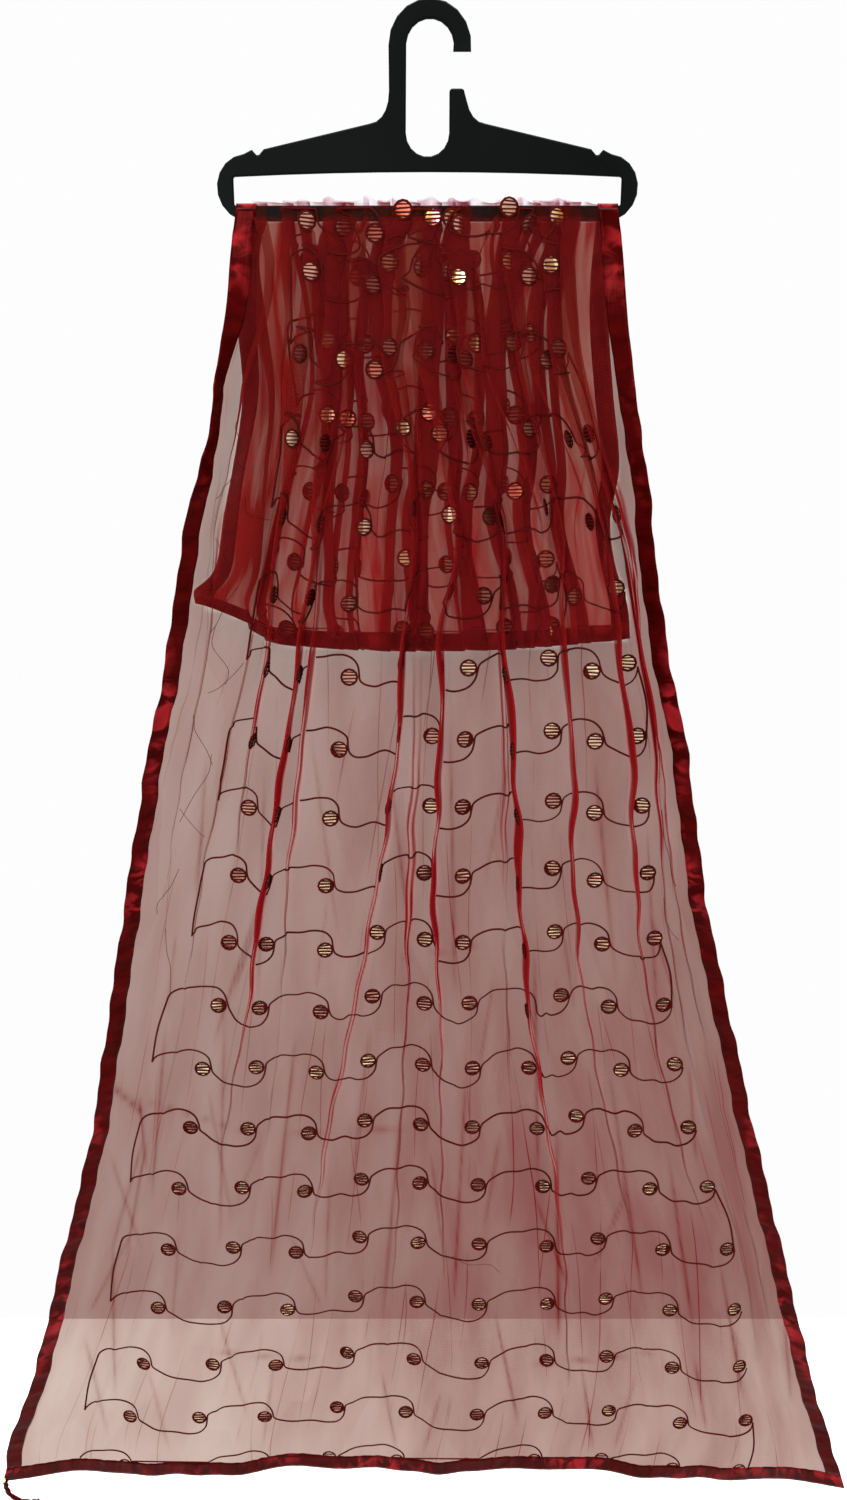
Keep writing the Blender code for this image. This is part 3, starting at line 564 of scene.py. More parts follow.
def lay_out(fold_across, shapes, turn_left, turn_right, width):
    """The section's corners, as (x from the left selvedge, out), for given folds and cloth width."""
    turn = math.radians(turn_left)
    bend_out = EDGE_BEND * math.sin(turn / 2)
    points = [(0, bend_out + RIBBON_WIDTH * math.sin(turn)), (RIBBON_WIDTH * math.cos(turn), bend_out)]
    points.append((points[1][0] + EDGE_BEND * math.cos(turn / 2), 0))
    runs = np.linalg.norm(np.diff(shapes, axis=1), axis=2)
    to_tip = runs[:, 0] + runs[:, 1] + runs[:, 2] / 2
    after_tip = runs[:, 2] / 2 + runs[:, 3]
    used = np.concatenate(([RIBBON_WIDTH + EDGE_BEND], (fold_across + after_tip)[:-1]))
    panel = fold_across - to_tip - used
    rise = np.concatenate(([0.0], shapes[:-1, -1, 1]))
    reach = np.sqrt(np.maximum(panel * panel - rise * rise, 0)) * np.sign(panel)
    ends = points[-1][0] + np.cumsum(reach - shapes[:, 0, 0] + shapes[:, -1, 0])
    shapes = shapes.copy()
    shapes[:, :, 0] += (ends - shapes[:, -1, 0])[:, None]
    turn = math.radians(turn_right)
    last = shapes[-1, -1]
    panel = width - RIBBON_WIDTH - EDGE_BEND - fold_across[-1] - after_tip[-1]
    x = last[0] + math.sqrt(max(panel * panel - last[1] ** 2, 0))
    bend = (x + math.cos(turn / 2) * EDGE_BEND, math.sin(turn / 2) * EDGE_BEND)
    edge = (bend[0] + math.cos(turn) * RIBBON_WIDTH, bend[1] + math.sin(turn) * RIBBON_WIDTH)
    return np.concatenate((points, shapes.reshape(-1, 2), [(x, 0), bend, edge]))


def section(z, is_long):
    """The cloth's corners at height z, as (x, out), fitted between the outline's two edges; how high
    each fold stands; and the drawn places."""
    rows = LONG_FALL if is_long else SHORT_FALL
    left, right, turn_left, turn_right = (read(rows, column, z) for column in (1, 2, 3, 4))
    swing = ease((BAR_AXIS_Z - z) / (LONG_SWING if is_long else SHORT_SWING))
    wishes, across = hidden_at(z, is_long), folds_across(z, is_long)
    crisp = fold_column(CRISP_COLUMN)
    if is_long:
        thin = 1 - ease((z - fold_column(LEAN_COLUMN - 1) * MM) / FADE)
        crisp = mix(crisp, 1, thin)
        place = left + (right - left) * across / CLOTH_WIDTH
        forward = 90 + np.degrees(np.arctan(place / ROOM_TO_VIEW))
        twist = FOLD_TWIST * np.sin(2.1 * FOLD_NUMBERS + z / TWIST_LENGTH)
        leans = mix(FLAT_LEAN, mix(fold_column(LEAN_COLUMN) + twist, forward, thin), swing)
        gap = mix(GAP_ON_BAR, mix(LONG_GAP, THIN_GAP, thin), swing)
    else:
        thin = 0.0
        leans = mix(FLAT_LEAN, LEAN_BEHIND, swing) + 0 * wishes
        gap = mix(GAP_ON_BAR, SHORT_GAP, swing) + 0 * wishes
    flat, drawn = drawn_places(z, is_long)
    across = np.interp(across, flat, drawn)
    low, high = 0.0, MOST_HIDDEN
    for _ in range(HALVINGS):
        scale = (low + high) / 2
        shapes, standing = fold_shapes(wishes * scale, crisp, leans, gap, thin)
        points = lay_out(across, shapes, turn_left, turn_right, drawn[-1])
        if points[-1, 0] > right - left:
            low = scale
        else:
            high = scale
    return points + (left, 0), standing, (flat, drawn)


# ================================================================== the cloth in the room
def spread_row(corners, standing, places):
    """A section drawn at even steps of cloth: x, out, and how plainly each step is part of a fold."""
    along = places_along(np.linalg.norm(np.diff(corners, axis=0), axis=1))
    along *= places[1][-1] / along[-1]
    across = np.interp(np.linspace(0, CLOTH_WIDTH, COLUMNS + 1), *places)
    x = np.interp(across, along, corners[:, 0])
    out = np.interp(across, along, corners[:, 1])
    run = np.clip(np.searchsorted(along, across, side="right") - 1, 0, len(along) - 2)
    inside = run - CORNERS_BEFORE_FOLDS
    fold = np.clip(inside // CORNERS_OF_FOLD, 0, len(FOLDS) - 1)
    place = inside % CORNERS_OF_FOLD
    first, last = STANDING_RUNS
    in_fold = (inside >= 0) & (inside < CORNERS_OF_FOLD * len(FOLDS)) & (place >= first) & (place <= last)
    return x, out, np.where(in_fold, np.clip(standing[fold] / FULL_FOLD, 0, 1), 0.0)


def soften(values, axis, times):
    """Each value drawn towards its neighbours along one axis; the ends stay."""
    for _ in range(times):
        values = np.moveaxis(values, axis, 0).copy()
        values[1:-1] = (values[:-2] + 2 * values[1:-1] + values[2:]) / 4
        values = np.moveaxis(values, 0, axis)
    return values


def crease_height(x, z, creases, width=1.0):
    """How far the creases lift the cloth at places (x, z)."""
    lift = np.zeros_like(x)
    for x0, z0, x1, z1, height, half_width in creases:
        run_x, run_z = (x1 - x0) * MM, (z1 - z0) * MM
        length = math.hypot(run_x, run_z)
        share = ((x - x0 * MM) * run_x + (z - z0 * MM) * run_z) / length ** 2
        off = ((x - x0 * MM) * run_z - (z - z0 * MM) * run_x) / length
        ends = ease(share / CREASE_END) * ease((1 - share) / CREASE_END)
        lift += height * MM * ends * np.exp(-np.abs(off) / (half_width * MM * width))
    return lift


def slow_waves(x, z):
    """The net's own unevenness, which shifts all its layers together."""
    depth, across, bend, down = BENT_WAVE
    bent = depth * np.sin(x / across + bend * np.sin(z / down)) * below_bar(z, BENT_FADE)
    depth, across, down, start = SLANT_WAVE
    slant = depth * np.sin(x / across - z / down + start)
    depth, across, down = CROSS_WAVE
    return (bent + slant + depth * np.sin(z / down + x / across)) * below_bar(z, WAVES_FADE)


class Cloth:
    """One stretch of the stole: its points in the room, by row and column, and its normals."""

    def __init__(self, points, rows, outward, folded):
        self.points, self.rows, self.folded = points, rows, folded
        along_rows = np.gradient(points, axis=0)
        along_columns = np.gradient(points, axis=1)
        normals = np.cross(along_columns, along_rows) * outward
        self.normals = normals / np.maximum(np.linalg.norm(normals, axis=2)[:, :, None], 1e-9)
        self.outward = outward

    def at(self, across, row_value, lift=0.0, table=None):
        """Points of the cloth at flat places, lifted off it; or another table of it there."""
        across, row_value = np.broadcast_arrays(np.asarray(across, float), row_value)
        way = -1 if self.rows[0] > self.rows[-1] else 1
        r = np.interp(way * row_value, way * self.rows, np.arange(len(self.rows)))
        c = np.clip(across / CLOTH_WIDTH * COLUMNS, 0, COLUMNS)
        r0 = np.minimum(r.astype(int), len(self.rows) - 2)
        c0 = np.minimum(c.astype(int), COLUMNS - 1)

        def blend(values):
            spread = (...,) + (None,) * (values.ndim - 2)
            row_share, column_share = (r - r0)[spread], (c - c0)[spread]
            upper = mix(values[r0, c0], values[r0, c0 + 1], column_share)
            lower = mix(values[r0 + 1, c0], values[r0 + 1, c0 + 1], column_share)
            return mix(upper, lower, row_share)

        if table is not None:
            return blend(table)
        return blend(self.points) + blend(self.normals) * np.asarray(lift)[..., None]


def edge_waves(heights, share, seed):
    """How the selvedges swing in and out along their length, dying away into the cloth."""
    wave = random.Random(seed)
    total = np.zeros(np.broadcast(heights, share).shape)
    for side in (-1, 1):
        swing = sum(np.sin(2 * math.pi * heights / pitch + TURN * wave.random()) * depth
                    for pitch, depth in EDGE_WAVES)
        total += swing * ease(1 - (1 - side * share) / EDGE_WAVE_REACH)
    return total


def hang_fall(is_long):
    """The cloth of one fall, from the bar's axis down to its hem."""
    hem_z = LONG_HEM_Z if is_long else SHORT_HEM_Z
    near_bar = np.linspace(BAR_AXIS_Z, BAR_AXIS_Z - NEAR_BAR, NEAR_BAR_STEPS)
    steps = (LONG_STEPS if is_long else SHORT_STEPS) - NEAR_BAR_STEPS
    heights = np.concatenate((near_bar[:-1], np.linspace(near_bar[-1], hem_z, steps + 2)))
    rows = [spread_row(*section(z, is_long)) for z in heights]
    x, out, folded = (soften(soften(np.array([row[k] for row in rows]), 1, 1), 0, 2) for k in range(3))
    z = np.broadcast_to(heights[:, None], x.shape)
    out = out * mix(PRESSED_ON_BAR, 1, below_bar(z, PRESSED_DROP))
    down = (BAR_AXIS_Z - z) / (BAR_AXIS_Z - hem_z)
    side = np.linspace(-1, 1, COLUMNS + 1)[None, :]
    share = 2 * (x - x[:, :1]) / (x[:, -1:] - x[:, :1]) - 1
    lift = slow_waves(x, z) + crease_height(x, z, LONG_CREASES if is_long else SHORT_CREASES)
    if is_long:
        sway = LONG_SWAY * ease((down - SWAY_FROM) / (1 - SWAY_FROM))
        wave = 1 + np.sin(2 * math.pi * (x / SWAY_PITCH + SWAY_SHIFT))
        x = x + edge_waves(z, side, 3) * ease((down - EDGE_WAVES_FROM) / EDGE_WAVES_FADE)
        drop = np.where(share < 0, LONG_HEM_DROP_LEFT, LONG_HEM_DROP_RIGHT) * share ** 2 * down ** 3
        small, change, wide = HEM_WAVE_LENGTHS
        waves = np.sin(x / small + 2 * np.sin(x / change)) + np.sin(x / wide + 1.1)
        drop = drop + HEM_WAVE * ease((down - HEM_WAVE_FROM) / HEM_WAVE_FADE) * waves
        points = np.stack((x, -WRAP_RADIUS - out - sway * wave - lift, z - drop), -1)
        return Cloth(points, heights, -1, folded)
    points = np.stack((x, WRAP_RADIUS + out + lift, z + SHORT_HEM_RISE * share ** 2 * down ** 3), -1)
    from_corner = (side + 1) / 2 * CLOTH_WIDTH / FLICK_ACROSS
    above_hem = (z - hem_z) / FLICK_UP
    points += np.exp(-from_corner ** 2 - above_hem ** 2)[..., None] * np.array(FLICK_AWAY)
    return Cloth(points, heights, 1, folded)


def ruffle_height(x):
    lift = np.zeros_like(x)
    for middle, height, half_width in RUFFLES:
        lift += height * MM * np.exp(-((x - middle * MM) / (half_width * MM)) ** 2)
    return lift


def wrap_bar():
    """The cloth over the bar, from the long fall's side to the short one's."""
    x, out, folded = spread_row(*section(BAR_AXIS_Z, True))
    x, out, folded = (soften(values, 0, 1) for values in (x, out, folded))
    angles = np.linspace(-90, 90, TOP_STEPS + 1)
    rows = []
    for angle in np.radians(angles):
        radius = WRAP_RADIUS + out * PRESSED_ON_BAR + ruffle_height(x) * math.cos(angle) ** 2
        rows.append(np.stack((x, radius * math.sin(angle), BAR_AXIS_Z + radius * math.cos(angle)), -1))
    return Cloth(np.array(rows), angles, 1, np.repeat(folded[None], len(rows), 0))


# ================================================================== meshes from the cloth
def hex_colour(text):
    """An sRGB hex colour as linear red, green, blue and alpha."""
    parts = [int(text[k:k + 2], 16) / 255 for k in (0, 2, 4)]
    return (*[p / 12.92 if p <= 0.04045 else ((p + 0.055) / 1.055) ** 2.4 for p in parts], 1.0)


def link_piece(name, mesh, material):
    mesh.materials.clear()
    mesh.materials.append(material)
    mesh.shade_smooth()
    obj = bpy.data.objects.new(name, mesh)
    bpy.context.scene.collection.objects.link(obj)
    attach(obj, "root")
    return obj


def mesh_of(bm, name):
    """The finished bmesh as a mesh."""
    mesh = bpy.data.meshes.new(name)
    bm.to_mesh(mesh)
    bm.free()
    return mesh


def grid_mesh(name, points, flat, outward, tables):
    """A sheet through rows and columns of points, with its flat places as a UV map, in metres."""
    rows, columns = points.shape[0] - 1, points.shape[1] - 1
    bm = bmesh.new()
    bmesh.ops.create_grid(bm, x_segments=columns, y_segments=rows, size=0.5)
    if outward < 0:
        bmesh.ops.reverse_faces(bm, faces=bm.faces)
    mesh = mesh_of(bm, name)
    places = np.empty(len(mesh.vertices) * 3)
    mesh.vertices.foreach_get("co", places)
    places = places.reshape(-1, 3)
    column = np.rint((places[:, 0] + 0.5) * columns).astype(int)
    row = np.rint((places[:, 1] + 0.5) * rows).astype(int)
    mesh.vertices.foreach_set("co", points[row, column].ravel())
    corner_vertex = np.empty(len(mesh.loops), dtype=np.int32)
    mesh.loops.foreach_get("vertex_index", corner_vertex)
    uv = mesh.uv_layers.new(name="flat")
    uv.data.foreach_set("uv", flat[row, column][corner_vertex].ravel())
    for table_name, values in tables.items():
        attribute = mesh.attributes.new(table_name, "FLOAT", "POINT")
        attribute.data.foreach_set("value", values[row, column].astype(np.float32))
    mesh.update()
    return mesh


def edge_at(cloth, column, z):
    """Where a column of the cloth is, across, at heights z."""
    return np.interp(-z, -cloth.points[:, 0, 2], cloth.points[:, column, 0])


def over_back_ribbons(x, z, behind, left, right, hem, inside):
    """How far a place of the long fall's net lies before the ribbons of the short fall."""
    start, end, fade = HEM_RIBBON_BAND
    share = ease((z - hem - start) / fade) * ease((hem + end - z) / fade) * inside
    seen = ease((BAR_AXIS_Z - RIBBON_SEEN_DROP - z) / RIBBON_SEEN_FADE)
    for outer, column, side in ((left, RIBBON_COLUMNS, 1), (right, -1 - RIBBON_COLUMNS, -1)):
        inner = edge_at(behind, column, z)
        band = (ease((x - outer * NEARER_BY) * side / RIBBON_FADE)
                * ease((inner * NEARER_BY - x) * side / RIBBON_FADE) * ease((z - hem) / RIBBON_END_FADE))
        share = np.maximum(share, band * seen)
    return share


def net_density(cloth, is_top, behind):
    """How much of the view each layer of net covers, how far it hangs among other layers, and how
    brightly it is painted as lit there."""
    x, z = cloth.points[..., 0], cloth.points[..., 2]
    everywhere = np.ones_like(x)
    if is_top:
        above = ease((z - BAR_AXIS_Z - TOP_ABOVE) / TOP_FADE)
        out = np.hypot(cloth.points[..., 1], z - BAR_AXIS_Z) - WRAP_RADIUS
        puffed = ease((out - PUFFED_OUT) / PUFFED_FADE)
        return mix(COVER_ON_BAR, COVER_AT_TOP, above * (1 - puffed)), everywhere, LIT_HIGH * everywhere
    if behind is None:
        layered, over_ribbon = everywhere, 0
        # painted shade: the net beside the left ribbon is drawn denser and less lit
        shade = ease((BUNCHED_WIDTH - (x - x[:, :1])) / BUNCHED_FADE)
        among = mix(COVER_BEHIND, COVER_BUNCHED, shade)
    else:
        left, right = edge_at(behind, 0, z), edge_at(behind, -1, z)
        hem = np.interp(x, behind.points[-1, :, 0], behind.points[-1, :, 2])
        inside = ease((x - left) / OVERLAP_FADE) * ease((right - x) / OVERLAP_FADE)
        layered = ease((z - hem) / OVERLAP_FADE) * inside
        # painted shade: the long fall's net before that band is drawn less lit
        shade = ease((left + SHADED_WIDTH - x) / SHADED_FADE) * inside
        among = mix(COVER_IN_FRONT, COVER_IN_FOLD, cloth.folded)
        over_ribbon = over_back_ribbons(x, z, behind, left, right, hem, inside)
    # painted light and shade: a single layer is drawn denser to the right and further down, and clearer
    # near the hem
    alone = (LIGHTEST_COVER + COVER_TO_RIGHT * np.clip((x - LIGHT_FROM_X) / LIGHT_WIDTH, 0, 1)
             + COVER_DOWN * np.clip((LIGHT_FROM_Z - z) / LIGHT_DROP, 0, 1)
             - LESS_AT_HEM * np.clip((FLOOR_FROM_Z - z) / FLOOR_DROP, 0, 1))
    # painted shade along the creases, drawn as denser net
    alone = alone + COVER_ON_CREASE * crease_height(x, z, LONG_CREASES + FINE_CREASES, CREASE_SHARE) / MM
    cover = mix(mix(alone, among, layered), COVER_ON_RIBBON, over_ribbon)
    cover = mix(COVER_ON_BAR, cover, ease((BAR_FOOT_Z + FOOT_ABOVE - z) / FOOT_FADE))
    facing = np.clip(np.abs(cloth.normals[..., 1]) * FACING_GAIN, LEAST_FACING, 1)
    lit = layered * mix(LIT_LOW, LIT_HIGH, ease((z - LIT_FROM_Z) / LIT_RISE)) * (1 - shade)
    return 1 - (1 - cover) ** (1 / facing), layered, lit


def net_sheet(name, cloth, material, behind=None):
    """The net of one stretch, between the two selvedge ribbons and down to the hem's."""
    edge = math.floor((RIBBON_WIDTH - NET_IN_RIBBON) / CLOTH_WIDTH * COLUMNS)
    is_top = cloth.rows[-1] > 0
    rows = len(cloth.rows)
    if not is_top:
        rows = int(np.sum(cloth.rows > cloth.rows[-1] + RIBBON_WIDTH - NET_IN_RIBBON)) + 1
    part = (slice(0, rows), slice(edge, COLUMNS - edge + 1))
    across = np.linspace(0, CLOTH_WIDTH, COLUMNS + 1)[part[1]]
    flat = np.stack(np.meshgrid(across, cloth.rows[part[0]] * (FLAT_PER_DEGREE if is_top else 1.0)), -1)
    cover, layered, lit = net_density(cloth, is_top, behind)
    tables = {"fold": cloth.folded[part], "cover": cover[part], "layered": layered[part], "lit": lit[part]}
    mesh = grid_mesh(name, cloth.points[part], flat, -cloth.outward, tables)
    return link_piece(name, mesh, material)


def pucker(along, seed, size):
    """How a sewn ribbon's edge swells and dips along its length."""
    wave = random.Random(seed)
    total = 0
    for length in PUCKER_LENGTHS:
        waves = 2 * math.pi * along / length * wave.uniform(*PUCKER_SPREAD) + TURN * wave.random()
        drift = PUCKER_DRIFT * np.sin(along / PUCKER_BEND + wave.random() * 6)
        total = total + np.sin(waves + drift)
    return total * size / len(PUCKER_LENGTHS)


def ribbon_piece(name, cloth, across, row_values, along, over, material, seed, size=PUCKER_SIZE):
    """A doubled ribbon over the net's edge: over and along are its own flat places, in metres."""
    across, row_values, along, over = np.broadcast_arrays(across, row_values, along, over)
    lift = pucker(along, seed, size) * (OUTER_PUCKER + (1 - OUTER_PUCKER) * over / RIBBON_WIDTH)
    points = cloth.at(across, row_values, lift)
    mesh = grid_mesh(name, points, np.stack((along, over), -1), -cloth.outward, {})
    obj = link_piece(name, mesh, material)
    shell = obj.modifiers.new("doubled", "SOLIDIFY")
    shell.thickness = RIBBON_THICKNESS
    shell.offset = 0
    shell.use_even_offset = False
    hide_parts(name.replace("_satin", ""))
    return obj


def selvedge_ribbons(stretch, cloth, row_values, material):
    rows = row_values[:, None]
    along = rows * (1 if stretch != "top" else FLAT_PER_DEGREE)
    over = np.linspace(0, RIBBON_WIDTH, RIBBON_STEPS + 1)[None, :]
    inwards = over[:, ::-1]
    return [ribbon_piece(f"ribbon_{stretch}_{side}_satin", cloth, across, rows, along, own, material,
                         f"{stretch}{side}")
            for side, across, own in (("left", over, over), ("right", CLOTH_WIDTH - inwards, inwards))]


def hem_ribbon(stretch, cloth, hem_z, material, size):
    across = np.linspace(0, CLOTH_WIDTH, HEM_COLUMNS + 1)[None, :]
    up = np.linspace(RIBBON_WIDTH, 0, HEM_STEPS + 1)[:, None]
    return ribbon_piece(f"hem_{stretch}_satin", cloth, across, hem_z + up, across, up, material,
                        f"hem{stretch}", size)


# ================================================================== embroidery
def smooth_path(points, step):
    """Points at even steps along a smooth curve through the given ones."""
    points = np.array(points, float)
    apart = np.linalg.norm(np.diff(points, axis=0), axis=1)
    at = places_along(np.sqrt(apart))
    slopes = np.gradient(points, at, axis=0)
    path = []
    for k, length in enumerate(apart):
        shares = np.linspace(0, 1, max(2, math.ceil(length / step) + 1))[:-1, None]
        path.append(curve_between(points[k], points[k + 1], slopes[k], slopes[k + 1],
                                  at[k + 1] - at[k], shares))
    return np.concatenate(path + [points[-1:]])


def thread_piece(name, runs, radius, material):
    """Sewn or loose threads, each run a list of points in the room."""
    curve = bpy.data.curves.new(name, "CURVE")
    curve.dimensions = "3D"
    curve.bevel_depth = radius
    curve.bevel_resolution = 0
    curve.use_fill_caps = True
    for run in runs:
        spline = curve.splines.new("POLY")
        spline.points.add(len(run) - 1)
        spline.points.foreach_set("co", np.column_stack((run, np.ones(len(run)))).ravel())
    maker = bpy.data.objects.new(name, curve)
    bpy.context.scene.collection.objects.link(maker)
    mesh = bpy.data.meshes.new_from_object(maker.evaluated_get(bpy.context.evaluated_depsgraph_get()))
    mesh.name = name
    bpy.data.objects.remove(maker)
    bpy.data.curves.remove(curve)
    return link_piece(name, mesh, material)


def flat_stretches(z, is_long):
    """The panels and fold legs at a height, each as (from, to) across the flat cloth. Behind, only the
    panels."""
    corners, _, (flat, drawn) = section(z, is_long)
    runs = np.diff(corners, axis=0)
    lengths = np.linalg.norm(runs, axis=1)
    along = places_along(lengths)
    along = np.interp(along * drawn[-1] / along[-1], drawn, flat)
    stretches = [[along[0], along[1]]]
    furthest = [abs(corners[:2, 1]).max()]
    for k in range(1, len(runs)):
        out = abs(corners[k:k + 2, 1]).max()
        if lengths[k] < 1e-6 or runs[k] @ runs[k - 1] > STRAIGHT_ON * lengths[k] * lengths[k - 1]:
            stretches[-1][1] = along[k + 1]
            furthest[-1] = max(furthest[-1], out)
        else:
            stretches.append([along[k], along[k + 1]])
            furthest.append(out)
    return [stretch for stretch, out in zip(stretches, furthest) if is_long or out < PANEL_OUT]


def snap_across(wanted, stretches, reach):
    """The nearest place where a dot lies flat."""
    best, best_cost = wanted, reach
    for start, end in stretches:
        room = end - start
        if room < DOT_RADIUS:
            continue
        place = (start + end) / 2
        if room > 2 * DOT_RADIUS:
            place = max(start + DOT_RADIUS, min(end - DOT_RADIUS, wanted))
        cost = abs(place - wanted) + max(0.0, 2 * DOT_RADIUS - room) * NARROW_COST
        if cost < best_cost:
            best, best_cost = place, cost
    return best


def dot_rows(is_long):
    """The centres of the dots, row by row, as (across, height)."""
    if is_long:
        first, pitch, count, reach = LONG_FIRST_ROW, LONG_ROW_PITCH, LONG_ROWS, DOT_SNAP
    else:
        first, pitch, count, reach = SHORT_FIRST_ROW, SHORT_ROW_PITCH, SHORT_ROWS, SNAP_BEHIND
    rows = []
    for r in range(count):
        eased = LONG_ROW_EASE * ease((r - 1) / ROWS_TO_EASE) if is_long else 0.0
        grown = LEAST_UNEVEN + (1 - LEAST_UNEVEN) * ease(r / ROWS_TO_EVEN)
        uneven = MM * grown if is_long else UNEVEN_BEHIND * MM
        height = min(first + r * pitch + eased, LOWEST_TOP_ROW)
        stretches = flat_stretches(height, is_long)
        row = []
        for k in range(DOTS_IN_ROW):
            wanted = DOT_FIRST_ACROSS + k * DOT_PITCH + chance.uniform(-DOT_STRAY, DOT_STRAY) * MM
            row.append((snap_across(wanted, stretches, reach),
                        height + DOT_UNEVEN[k] * uneven + chance.uniform(-DOT_STRAY, DOT_STRAY) * MM))
        rows.append(row)
    return rows


def vine_points(dot, side, shape, room):
    """Points of the vine by one dot, drawn closer where its neighbour is near."""
    points = []
    share = (room - 2 * VINE_NEAR_DOT) / (DOT_PITCH - 2 * VINE_NEAR_DOT)
    free_along, free_up = VINE_FREE
    for a, up in shape:
        beside = abs(a) * MM
        if beside > VINE_NEAR_DOT:
            beside = VINE_NEAR_DOT + (beside - VINE_NEAR_DOT) * share
        stray_along = chance.uniform(-1, 1) * VINE_SWELL * min(abs(a) / free_along, 1)
        stray_up = chance.uniform(-1, 1) * VINE_SWELL * min(abs(up) / free_up, 1)
        points.append((dot[0] + math.copysign(beside, a) + stray_along, dot[1] + side * up * MM + stray_up))
    return points


def vine_row(dots):
    """The vine through one row of dots."""
    points = vine_points(dots[0], 1, VINE_STARTS, DOT_PITCH)
    for k, dot in enumerate(dots):
        side = 1 if k % 2 == 0 else -1
        room = dot[0] - dots[k - 1][0] if k else DOT_PITCH
        points += vine_points(dot, side, VINE_ARRIVES, room)
        if k < len(dots) - 1:
            following = dots[k + 1]
            meeting = following[1] - side * VINE_ARRIVES[0][1] * MM
            leaving = vine_points(dot, side, VINE_LEAVES, following[0] - dot[0])
            points += [(x, mix(z, meeting, share)) for (x, z), share in zip(leaving, VINE_MEETS)]
    return smooth_path(points, THREAD_STEP)


def across_at(cloth, x, z):
    """The flat place of the panel at x, or none where a fold stands."""
    row = np.interp(-z, -cloth.rows, np.arange(len(cloth.rows)))
    r0 = min(int(row), len(cloth.rows) - 2)
    places = mix(cloth.points[r0, :, 0], cloth.points[r0 + 1, :, 0], row - r0)
    column = np.interp(x, np.maximum.accumulate(places), np.arange(COLUMNS + 1))
    if cloth.folded[r0, round(column)] > ON_A_FOLD:
        return None
    return column / COLUMNS * CLOTH_WIDTH


def over_creases(cloth, path):
    """A path given as it is seen, as flat places: it runs on smoothly over the thin creases."""
    places = [(across_at(cloth, x, z), z) for x, z in path if z > cloth.rows[-1]]
    return np.array([place for place in places if place[0] is not None])


def as_seen(cloth, places):
    """Flat places as they are seen from the front."""
    return [(float(cloth.at(across, height)[0]), height) for across, height in places]


def vine_paths(cloth, rows):
    """The vine through every row, and the threads that jump from row to row, in flat places."""
    paths = []
    for row in rows:
        if row[0][1] < LEVEL_ROWS_BELOW:
            paths.append(over_creases(cloth, vine_row(as_seen(cloth, row))))
        else:
            paths.append(vine_row(row))
    for r in range(len(rows) - 1):
        if r % 2 == 1:
            ends, bend = (paths[r + 1][0], paths[r][0]), JUMP_LEFT
        elif r % 4 == 0:
            ends, bend = (paths[r + 1][-1], paths[r][-1]), JUMP_RIGHT
        else:
            continue
        is_level = ends[1][1] < LEVEL_ROWS_BELOW
        if is_level:
            ends = as_seen(cloth, ends)
        middle = (mix(ends[0][0], ends[1][0], 0.5) + bend, mix(ends[0][1], ends[1][1], 0.5))
        jump = smooth_path([ends[0], middle, ends[1]], THREAD_STEP)
        paths.append(over_creases(cloth, jump) if is_level else jump)
    return paths


def shown_runs(cloth, path):
    """The parts of a path outside the folds below the short hem, which hide what is inside them."""
    if len(path) < 3:
        return []
    in_fold = cloth.at(path[:, 0], path[:, 1], table=cloth.folded) > INSIDE_A_FOLD
    inside = in_fold & (path[:, 1] < SHORT_HEM_Z)
    breaks = np.flatnonzero(np.diff(inside.astype(int))) + 1
    return [run for run, hidden in zip(np.split(path, breaks), np.split(inside, breaks))
            if len(run) > 2 and not hidden[0]]


def stitched_ring():
    """One dot's stitching: a ring and bars across it, about the origin, facing +Z."""
    bm = bmesh.new()
    made = bmesh.ops.create_circle(bm, segments=4, radius=RING_WIDTH)
    turn = Matrix.Translation((DOT_RADIUS - 0.001, 0, 0)) @ Matrix.Rotation(math.radians(90), 4, "X")
    bmesh.ops.transform(bm, matrix=turn, verts=made["verts"])
    bmesh.ops.spin(bm, geom=bm.verts[:] + bm.edges[:], cent=(0, 0, 0), axis=(0, 0, 1),
                   angle=math.radians(360), steps=RING_STEPS, use_merge=True)
    bmesh.ops.scale(bm, vec=(1, 1, RING_FLATNESS), verts=bm.verts)
    bmesh.ops.recalc_face_normals(bm, faces=bm.faces)
    for place, width in STITCH_BARS:
        place += chance.uniform(-BAR_STRAY, BAR_STRAY) * MM * 0.1
        half = math.sqrt((DOT_RADIUS - RING_WIDTH) ** 2 - place ** 2)
        bar = bmesh.ops.create_cube(bm, size=1)
        size = Matrix.Diagonal((2 * half, width, BAR_THICKNESS, 1))
        tilt = Matrix.Rotation(math.radians(chance.uniform(-BAR_TILT, BAR_TILT)), 4, "Z")
        bmesh.ops.transform(bm, matrix=Matrix.Translation((0, place, BAR_LIFT)) @ tilt @ size,
                            verts=bar["verts"])
    return mesh_of(bm, "stitched_ring")


def cupped_sequin():
    """A sequin: a flat middle with a faceted rim turned up around it, facing +Z."""
    bm = bmesh.new()
    bmesh.ops.create_circle(bm, cap_ends=True, segments=12, radius=DOT_RADIUS - SEQUIN_INSIDE)
    bmesh.ops.inset_region(bm, faces=bm.faces[:], thickness=SEQUIN_RIM, depth=SEQUIN_CUP)
    return mesh_of(bm, "cupped_sequin")


